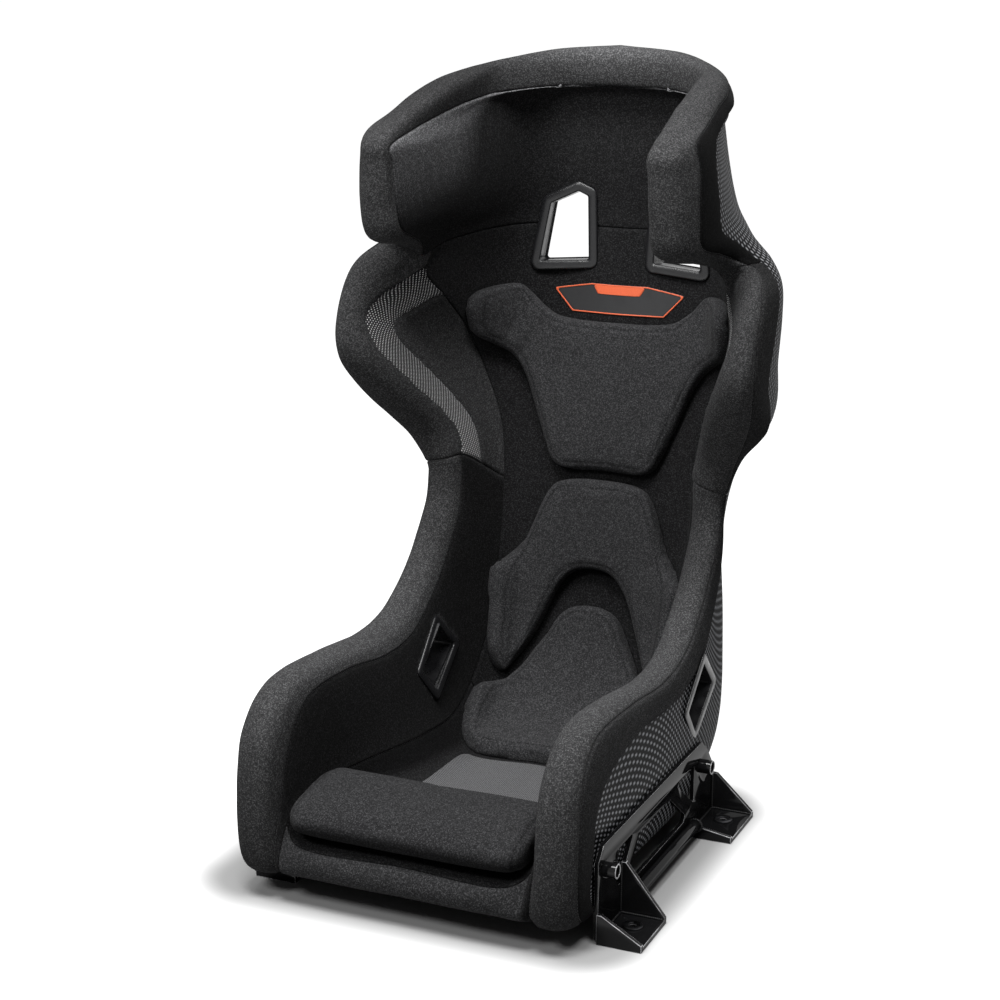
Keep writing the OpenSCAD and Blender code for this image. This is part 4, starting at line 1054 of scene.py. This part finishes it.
# the right halves of the pads' outlines, as x across and the run up the lining from the hip
UPPER = [[0, 645], [54, 645], [82, 650], [108, 668], [134, 688], [160, 693], [182, 688], [189, 664],
         [186, 630], [166, 610], [140, 590], [120, 556], [94, 500], [74, 456], [58, 443], [0, 443]]
LOWER = [[0, 255], [26, 251], [42, 236], [54, 212], [68, 186], [84, 156], [106, 132], [132, 98], [138, 60],
         [132, 20], [118, -8], [96, -18], [0, -22]]
LUMBAR_OUTER = [[0, 428], [36, 428], [60, 422], [78, 396], [94, 358], [112, 324], [132, 288], [140, 250],
                [140, 205], [137, 165], [132, 142]]
LUMBAR_INNER = [[114, 136], [106, 150], [92, 170], [82, 188], [72, 208], [62, 234], [54, 258], [44, 282],
                [31, 298], [16, 305], [0, 306]]
PAD_EDGE = 8.0
for name, half, height, crown in (("upper_back_pad", UPPER, 20.5, 2.5), ("lower_back_pad", LOWER, 22.5, 3.0),
                                  ("lumbar_pad", LUMBAR_OUTER + LUMBAR_INNER, 22.5, 2.0)):
    made = pad(name + "_cushion", smooth_outline(mirrored_outline(half)), height, PAD_EDGE, crown)
    fit(made, pad_knit, "pad_cloth", name)

# ---- Leg cushion ----
# A loose roll of soft foam in the same knit, laid across the front of the seat under the knees. Its
# ends are gathered in, and it leaves a dark gap over the lip in front.

# the roll's profile as y and height over the seat, the point it shrinks towards at its ends, and its base
LEG_PROFILE = np.array([[-250.0, 0], [-274, 2], [-289, 10], [-293, 19], [-287, 30], [-270, 38], [-242, 44],
                        [-206, 48], [-176, 47], [-158, 40], [-150, 24], [-156, 10], [-204, 5]])
heart = np.array([-212.0, 23])
LEG_BASE, LEG_HALF, LEG_SEAM = 85, 151, 141
profile = smooth_outline(LEG_PROFILE, 4)
ends = [(-LEG_HALF + 20 * (1 - math.cos(a)), 0.62 + 0.36 * math.sin(a))
        for a in np.linspace(0, math.pi / 2, 9)]
slices = ends + [(x, 0.98) for x in np.linspace(-124, 124, 50)] + [(-x, k) for x, k in ends[::-1]]
n = len(profile)
points = np.concatenate([np.c_[np.full(n, x), heart + k * (profile - heart) + [0, LEG_BASE]]
                         for x, k in slices])
faces = [list(range(n)), list(range(len(points) - n, len(points)))] + ring_faces(len(slices), n)
made = plain_copy(piece("leg_cushion_roll", points, faces), 0.0045)
inflate(made, vectors(made.data.vertices, "co")[:, 2] < (LEG_BASE + 4.5) / 1000, 0.003)
finely(made)
co, normals = to_table(vectors(made.data.vertices, "co")), vectors(made.data.vertices, "normal")
x, y, z = co.T
around = np.arctan2(z - LEG_BASE - 19, y - heart[0])
gathers = 0.3 * np.sin(around * 7 + 3 * ripples(co, 50, 2)) * np.clip((np.abs(x) - 110) / 35, 0, 1)
seam = np.abs(x) - LEG_SEAM
lie = 0.6 * ripples(co, 70, 12) + gathers - 0.9 * np.exp(-(seam / 1.8) ** 2)
move_vertices(made.data, to_seat(co + lie[:, None] * normals))
# painted shade along the seam's fold
keep(made.data, "seam", np.exp(-(seam / 1.6) ** 2))
# a little darker knit than the pads', with painted shade on the cushion's underside at the front, over the
# lip
under = np.clip((112 - z) / 14, 0, 1) * np.clip((-262 - y) / 12, 0, 1)
keep(made.data, "painted_tone", -0.22 - 0.55 * under)
lay_cloth(made.data, np.stack([x, y + z], -1) / 1000)
made.data.shade_smooth()
fit(made, pad_knit, "pad_cloth", "leg_cushion")

# ---- Badge ----
# A bare moulded patch on the lining over the upper pad: black rubber with a raised orange border and
# a plain orange tab at its top. It carries no words.

# the patch's outline, as x across and the run up the lining from the hip
BADGE = [[-89, 686], [-38, 696], [38, 696], [89, 686], [62, 655], [-62, 655]]


def flat_band(name, outer, inner, low, high, lean=0.5):
    """A raised band between two outlines with the same number of points, its edges bevelled."""
    rings = [(outer, low), (outer, high - lean), (mix(outer, inner, 0.12), high),
             (mix(outer, inner, 0.88), high), (inner, high - lean), (inner, low)]
    points = np.concatenate([on_lining(o[:, 0], o[:, 1], z) for o, z in rings])
    return piece(name, points, ring_faces(len(rings), len(outer), True))


def along_edges(outline, step, like=None):
    """The outline with points added along its straight edges, as many as another outline gets."""
    like = outline if like is None else like
    out = []
    for a, b, c, d in zip(outline, np.roll(outline, -1, 0), like, np.roll(like, -1, 0)):
        count = max(1, int(np.linalg.norm(d - c) / step))
        out += [mix(a, b, k / count) for k in range(count)]
    return np.array(out)


def flat_plate(name, outline, low, high, cell=7.0):
    """A thin plate of that outline on the lining, its top edge bevelled."""
    outline = along_edges(outline, cell)
    centre = outline.mean(0)
    rings = [(1.0, low), (1.0, high - 0.4), (0.985, high)] + [(k, high) for k in np.linspace(0.9, 0.1, 9)]
    points = [on_lining(*(centre + k * (outline - centre)).T, z) for k, z in rings]
    points.append(on_lining(centre[:1], centre[1:], high))
    n, last = len(outline), len(rings) - 1
    fan = [[last * n + i, last * n + (i + 1) % n, len(rings) * n] for i in range(n)]
    return piece(name, np.concatenate(points), ring_faces(len(rings), n) + fan + [list(range(n))])


def rubber(name, colour, rough):
    """Moulded rubber or plastic with a fine matt grain."""
    material, tree, into = finish(name, specular_ior_level=0.4)
    grit = mottling(tree, smeared(tree, into, 60.0, rough - 0.07, rough + 0.1), 1400.0)
    shade(tree, colour, calc(tree, "MULTIPLY_ADD", grit, 0.5, 0.75), into["Base Color"])
    raised(tree, grit, 0.00015, into["Normal"], 0.5)
    return material


badge_black = rubber("badge_rubber", (0.012, 0.012, 0.013), 0.55)
badge_orange = rubber("badge_border", (0.72, 0.125, 0.045), 0.5)
plate = flat_plate("badge_patch", rounded(BADGE, 0, 2, 3), 0.4, 1.7)
fit(plate, badge_black, "badge", "badge")
border_outside = rounded(BADGE, 0.5, 2, 3)
border = flat_band("badge_border_line", along_edges(border_outside, 12),
                   along_edges(rounded(BADGE, 2.3, 2, 3), 12, border_outside), 1.2, 2.4, 0.4)
fit(border, badge_orange, "badge")
TAB = [[-36, 694.5], [-29, 682], [29, 682], [36, 694.5]]
tab = flat_plate("badge_tab", rounded(TAB, 0, 2.5, 3), 1.2, 2.3, 5)
fit(tab, badge_orange, "badge")

# ---- Belt slot frames ----
# Satin black moulded frames that line the belt slots: a rounded flange on the lining and another on
# the carbon, each with a short sleeve, clipped together through the shell.

frame_plastic = rubber("frame_plastic", (0.011, 0.011, 0.012), 0.3)


def slot_frame(name, place, outline, loops, corner=12.0):
    """A ring swept round a slot. Each loop is how far it lies inside the outline, and its height."""
    rings = [carried(place, np.c_[rounded(outline, k, max(corner - 0.72 * k, 3.5), 8),
                                  np.full(9 * len(outline), z)]) for k, z in loops]
    made = piece(name, np.concatenate(rings), ring_faces(len(rings), len(rings[0]), True))
    made.data.set_sharp_from_angle(angle=math.radians(50))
    return made


def frame_loops(wide, rise, depth, wall=3.0, low=0.4):
    """A rounded flange that rises off its seat and turns down into a sleeve of that depth."""
    arch = [(wide / 2 - wide / 2 * math.cos(a), low + (rise - low) * math.sin(a) ** 0.55)
            for a in np.linspace(0.12, math.pi - 0.25, 12)]
    return [(0.3, low)] + arch + [(wide - 0.05, rise * 0.25), (wide, 0), (wide, -depth),
                                  (wide - wall, -depth), (wide - wall, low)]


slots = {
    "shoulder_bezel": slot_frame("shoulder_frame_right", shoulder_front, SHOULDER_SLOT,
                                  frame_loops(SHOULDER_WIDE, 4.4, 12)),
    "rear_bezel": slot_frame("rear_frame_right", shoulder_rear, SHOULDER_SLOT,
                              frame_loops(SHOULDER_WIDE, 3.5, 0.1, 12.7, 0.05)),
    "lap_bezel": slot_frame("lap_frame_right", lap_wall @ Matrix.Scale(-1, 4, (0, 0, 1)), LAP_SLOT,
                            frame_loops(LAP_WIDE, 4, 0.1, 10.7, 0), 8.0),
    "outer_lap_bezel": slot_frame("outer_lap_frame_right", lap_side(LAP_OUTSIDE), LAP_SLOT,
                                  frame_loops(LAP_WIDE, 2.5, 0.1, 10.7, 0), 8.0)}
sleeves = {
    "rear_bezel": slot_frame("rear_sleeve_right", shoulder_front, SHOULDER_SLOT,
                             [(10, -24), (10, -12.4), (13, -12.4), (13, -24)]),
    "lap_bezel": slot_frame("lap_sleeve_right", lap_side(152), LAP_SLOT,
                            [(8, 0), (8, 32), (11, 32), (11, 0)], 8.0),
    "outer_lap_bezel": slot_frame("outer_lap_sleeve_right", lap_side(184.4), LAP_SLOT,
                                  [(8, 0), (8, 33.1), (11, 33.1), (11, 0)], 8.0)}
for group in (slots, sleeves):
    for name, made in group.items():
        left = other_side(made, made.name.replace("right", "left"))
        for obj, side_name in ((made, "right"), (left, "left")):
            fit(obj, frame_plastic, "bezel_plastic", name + "_" + side_name)


def edged(name, source, width, edge_highlight_finish=0):
    """A copy of a CAD node with its sharp edges eased, in the first or second of its finishes."""
    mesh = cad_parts[source].data.copy()
    bm = bmesh.new()
    bm.from_mesh(mesh)
    bmesh.ops.remove_doubles(bm, verts=bm.verts, dist=1e-5)
    bmesh.ops.dissolve_limit(bm, angle_limit=0.02, verts=bm.verts, edges=bm.edges)
    bm.to_mesh(mesh)
    bm.free()
    mesh.materials.clear()
    for _ in range(2):
        mesh.materials.append(None)
    obj = stand(name, mesh)
    ease = obj.modifiers.new("ease", "BEVEL")
    ease.width, ease.segments, ease.material = width, 2, edge_highlight_finish
    ease.limit_method, ease.angle_limit = "ANGLE", math.radians(40)
    settled(obj)
    obj.data.shade_smooth()
    obj.data.set_sharp_from_angle(angle=math.radians(32))
    return obj


for name in ("crotch_bezel", "lower_crotch_bezel"):
    fit(edged(name + "_frame", name, 0.0009), frame_plastic, "bezel_plastic", name)

# ---- Side brackets ----
# A pair of cut steel side plates with feet and gussets welded on and a round rail along the bottom,
# powder coated gloss black. Each is bolted through its bosses into inserts in the shell, and down
# to the floor through its two feet.

bracket_paint, tree, into = finish("gloss_black_powder_coat", coat_weight=0.35, coat_roughness=0.06,
                                   specular_ior_level=0.0)
peel = mottling(tree, smeared(tree, into, 35.0, 0.12, 0.3), 420.0, 1.0)
shade(tree, (0.007, 0.007, 0.0075), calc(tree, "MULTIPLY_ADD", peel, 0.6, 0.7), into["Base Color"])
raised(tree, peel, 0.0003, into["Normal"], 0.25)

# the eased edges get a painted highlight: a light grey in their colour that stands for the lamps' glint
painted_edge_highlight, tree, into = finish("painted_highlight_edge", coat_weight=0.3, coat_roughness=0.06,
                                 specular_ior_level=0.5)
glint_mottling = mottling(tree, smeared(tree, into, 35.0, 0.2, 0.4), 45.0, 5.0)
glint_strength = node(tree, "ShaderNodeMapRange", glint_mottling, 0.35, 0.62, 0.1, 1.6)
shade(tree, (0.3, 0.3, 0.31), glint_strength.outputs[0], into["Base Color"])
for name in ("bracket_plate", "front_foot", "rear_foot", "lower_rail", "bolt_boss"):
    for side_name in ("right", "left"):
        made = edged("%s_%s_coated" % (name, side_name), name + "_" + side_name, 0.0008, 1)
        finishes = np.empty(len(made.data.polygons), np.int32)
        made.data.polygons.foreach_get("material_index", finishes)
        fit(made, bracket_paint, "bracket_paint", name + "_" + side_name)
        # the bevels take the second finish, the painted edge highlight
        made.data.materials.append(painted_edge_highlight)
        made.data.polygons.foreach_set("material_index", finishes)

# a bead or a stitch repeated along paths
row, given_row = bpy.data.node_groups.new("repeat along a path", "GeometryNodeTree"), {}
for label, kind, value in (("Path", "Geometry", None), ("Pitch", "Float", 0.004), ("Length", "Float", 0.003),
                           ("Width", "Float", 0.0004), ("Height", "Float", 0.0004),
                           ("Finish", "Material", None)):
    socket = row.interface.new_socket(label, in_out="INPUT", socket_type="NodeSocket" + kind)
    given_row[label] = socket.identifier
    if value is not None:
        socket.default_value = value
row.interface.new_socket("Row", in_out="OUTPUT", socket_type="NodeSocketGeometry")
start = row.nodes.new("NodeGroupInput").outputs
line = node(row, "GeometryNodeMeshToCurve", start["Path"])
even = node(row, "GeometryNodeResampleCurve", line.outputs[0], mode="LENGTH")
row.links.new(start["Pitch"], even.inputs["Length"])
bead = node(row, "GeometryNodeMeshUVSphere", 8, 5, 0.5)
size = node(row, "ShaderNodeCombineXYZ", start["Width"], start["Height"], start["Length"])
smooth = node(row, "GeometryNodeSetShadeSmooth", bead.outputs[0])
formed = node(row, "GeometryNodeTransform", smooth.outputs[0])
row.links.new(size.outputs[0], formed.inputs["Scale"])
turn = node(row, "FunctionNodeAlignRotationToVector", axis="Z")
row.links.new(node(row, "GeometryNodeInputTangent").outputs[0], turn.inputs["Vector"])
each = node(row, "GeometryNodeInstanceOnPoints", even.outputs[0])
row.links.new(formed.outputs[0], each.inputs["Instance"])
row.links.new(turn.outputs[0], each.inputs["Rotation"])
real = node(row, "GeometryNodeRealizeInstances", each.outputs[0])
coated = node(row, "GeometryNodeSetMaterial", real.outputs[0])
row.links.new(start["Finish"], coated.inputs["Material"])
row.links.new(coated.outputs[0], node(row, "NodeGroupOutput").inputs[0])


def repeated(name, paths, material, pitch, length, width, height):
    """Beads of that size along each path of points in the section table's millimetres."""
    points = to_seat(np.concatenate(paths))
    edges, count = [], 0
    for path in paths:
        edges += [(count + i, count + i + 1) for i in range(len(path) - 1)]
        count += len(path)
    mesh = bpy.data.meshes.new(name)
    mesh.from_pydata(points.tolist(), edges, [])
    obj = stand(name, mesh)
    rule = obj.modifiers.new("row", "NODES")
    rule.node_group = row
    for label, value in (("Pitch", pitch), ("Length", length), ("Width", width), ("Height", height),
                         ("Finish", material)):
        rule[given_row[label]] = value
    return settled(obj)


# Welds where each foot meets its plate and gussets, and where the rail meets the feet. A foot runs back
# from one gusset to the next, which have their own heights. The left feet point the same way as the
# right ones, in under the seat, and have low gussets.
FOOT_THICK, FOOT_WIDE, RAIL_HEIGHT, RAIL_RADIUS = 6.6, 51, 18, 8
welds = []
for inner_x, gussets in ((225, ((-237, 37), (-153, 70), (85, 17), (178, 55))),
                         (-220, ((-237, 22), (-153, 22), (85, 22), (178, 22)))):
    for (low, low_tall), (high, high_tall) in (gussets[:2], gussets[2:]):
        welds.append([[inner_x + 0.4, low + 7, FOOT_THICK], [inner_x + 0.4, high - 7, FOOT_THICK]])
        for y, tall in ((low + FOOT_THICK, low_tall), (high - FOOT_THICK, high_tall)):
            welds.append([[inner_x + 0.6, y, 7], [inner_x + 0.6, y, tall - 4]])
            welds.append([[inner_x + 2, y, FOOT_THICK], [inner_x + FOOT_WIDE, y, FOOT_THICK]])
    for y in (-152, 84):
        ring = np.array(circle(RAIL_RADIUS, 24) + [[RAIL_RADIUS, 0]])
        welds.append(np.c_[inner_x + RAIL_RADIUS + ring[:, 0], np.full(25, y), RAIL_HEIGHT + ring[:, 1]])
beads = repeated("bracket_weld_beads", welds, bracket_paint, 0.0024, 0.0046, 0.0042, 0.0042)
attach(beads, "root")

# ---- Bolts, inserts and washers ----
# Black socket-head bolts hold the brackets to turned aluminium inserts bonded into the shell, and
# thick black washers lie round the floor holes.


def turned_metal(name, colour, rough):
    """Metal with fine tool marks."""
    material, tree, into = finish(name, metallic=1.0)
    marks = mottling(tree, smeared(tree, into, 80.0, rough - 0.08, rough + 0.1), 900.0, 3.0)
    shade(tree, colour, calc(tree, "MULTIPLY_ADD", marks, 0.6, 0.7), into["Base Color"])
    raised(tree, marks, 0.0001, into["Normal"], 0.3)
    return material


black_oxide = turned_metal("black_oxide_steel", (0.07, 0.07, 0.075), 0.32)
aluminium = turned_metal("turned_aluminium", (0.62, 0.63, 0.65), 0.28)
for name, material, slot_name in (("side_bolt", black_oxide, "bolt_steel"),
                                  ("shell_insert", aluminium, "insert_metal"),
                                  ("floor_washer", black_oxide, "bolt_steel")):
    for side_name in ("right", "left"):
        made = edged("%s_%s_turned" % (name, side_name), name + "_" + side_name, 0.0005)
        fit(made, material, slot_name, name + "_" + side_name)

# ---- Stitching ----
# Black thread along the seams of the rolls and the lining: short stitches that lie in the fold where
# two panels meet.

thread, tree, into = finish("seam_thread", roughness=0.7, specular_ior_level=0.3, sheen_weight=0.2)
twist = mottling(tree, node(tree, "ShaderNodeTexCoord").outputs["Object"], 1500.0)
shade(tree, (0.016, 0.016, 0.017), calc(tree, "MULTIPLY_ADD", twist, 1.2, 0.4), into["Base Color"])

# the seams that run along the rolls, at those columns, then the ones across their ends
paths = []
for name, columns in (("thigh_bolster", (2, 3, 6)), ("shoulder_bolster", (2, 6)), ("halo_cover", (3, 6))):
    face, normal, u, v = seams[name]
    for column in columns:
        j = int(np.argmin(np.abs(v.mean(0) - column)))
        path = face[2:-2, j] + 0.3 * normal[2:-2, j]
        paths += [path] if name == "halo_cover" else [path, path * MIRROR]
for name, seam in (("thigh_bolster", WAIST_SEAM), ("shoulder_bolster", NECK_SEAM)):
    face, normal, u, v = seams[name]
    i = int(np.argmin(np.abs(u[:, 0] - seam)))
    path = face[i, 2:-2] + 0.3 * normal[i, 2:-2]
    paths += [path, path * MIRROR]
stitches = repeated("seam_stitches", paths, thread, 0.0046, 0.0036, 0.0009, 0.0007)
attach(stitches, "root")

# ---- Studio ----
# A pale seamless floor under four softboxes: one over the front of the seat, a key lamp at the front left,
# and one high on each side. The seat's shadow lies close round its feet, and the floor is left dim round the
# footprint as a painted shadow.

FLOOR = 40000
floor = piece("studio_floor", [[x, y, 0] for x, y in rectangle(2 * FLOOR, 2 * FLOOR)], [[0, 1, 2, 3]])
material, tree, into = finish("studio_floor", roughness=1.0, specular_ior_level=0.0)
place = node(tree, "ShaderNodeTexCoord").outputs["Object"]
cloudy = calc(tree, "MULTIPLY_ADD", mottling(tree, place, 0.8), 0.01, 0.995)
shade(tree, (0.39, 0.39, 0.39), cloudy, into["Base Color"])
into["Emission Color"].default_value = (1, 1, 1, 1)


def seen_white(tree):
    """1 for the rays that show the backdrop: to the camera, in a gloss and through glass."""
    rays = node(tree, "ShaderNodeLightPath").outputs
    mirrored = calc(tree, "MAXIMUM", rays["Is Glossy Ray"], rays["Is Transmission Ray"])
    return calc(tree, "MAXIMUM", rays["Is Camera Ray"], mirrored)


# how far a place lies outside the seat's footprint: the floor glows white beyond it but not close round it,
# where it stays dim as a painted shadow over the seat's own shadow
FOOT_HALF, FOOT_MIDDLE, SHADOW_START, SHADOW_END = 0.2, -0.1, 0.055, 0.125
side, deep, _ = node(tree, "ShaderNodeSeparateXYZ", place).outputs
beside, before = (calc(tree, "MAXIMUM", calc(tree, "SUBTRACT", calc(tree, "ABSOLUTE", far), FOOT_HALF), 0.0)
                  for far in (side, calc(tree, "SUBTRACT", deep, FOOT_MIDDLE)))
glow_beyond_painted_shadow = node(tree, "ShaderNodeMapRange", hypotenuse(tree, beside, before), SHADOW_START, SHADOW_END,
              0.0, 1.0, interpolation_type="SMOOTHSTEP").outputs[0]
tree.links.new(calc(tree, "MULTIPLY", seen_white(tree), glow_beyond_painted_shadow), into["Emission Strength"])
floor.data.materials.append(material)

# the backdrop is white to look at, and gives the seat only a weak light
ROOM_LIGHT = 0.08
world = bpy.data.worlds.new("studio")
bpy.context.scene.world = world
world.use_nodes = True
tree = world.node_tree
backdrop = tree.nodes["Background"].inputs
backdrop["Color"].default_value = (1, 1, 1, 1)
tree.links.new(calc(tree, "MULTIPLY_ADD", seen_white(tree), 1 - ROOM_LIGHT, ROOM_LIGHT), backdrop["Strength"])


def aimed(name, data, place, aim):
    """A lamp or a camera at that place, turned towards its aim."""
    obj = stand(name, data)
    obj.location = place
    obj.rotation_euler = (Vector(aim) - Vector(place)).to_track_quat("-Z", "Y").to_euler()
    return obj


SOFTBOX = 0.8
for name, place, aim_height, power in (("overhead_softbox", (0.0, -1.0, 3.0), 0.4, 65),
                                       ("left_key", (-0.9, -2.4, 2.6), 0.5, 46),
                                       ("left_top", (-1.0, -0.6, 2.8), 0.4, 20),
                                       ("right_top", (1.0, -0.6, 2.8), 0.4, 34)):
    lamp = bpy.data.lights.new(name, "AREA")
    lamp.shape, lamp.size, lamp.energy = "SQUARE", SOFTBOX, power
    aimed(name, lamp, place, (0, 0, aim_height))

lens = bpy.data.cameras.new("camera")
lens.lens, lens.sensor_width = 77.4, 36
bpy.context.scene.camera = aimed("camera", lens, (1.0319, -2.3805, 1.1384), (0, -0.070, 0.440))
bpy.context.scene.view_settings.view_transform = "Standard"
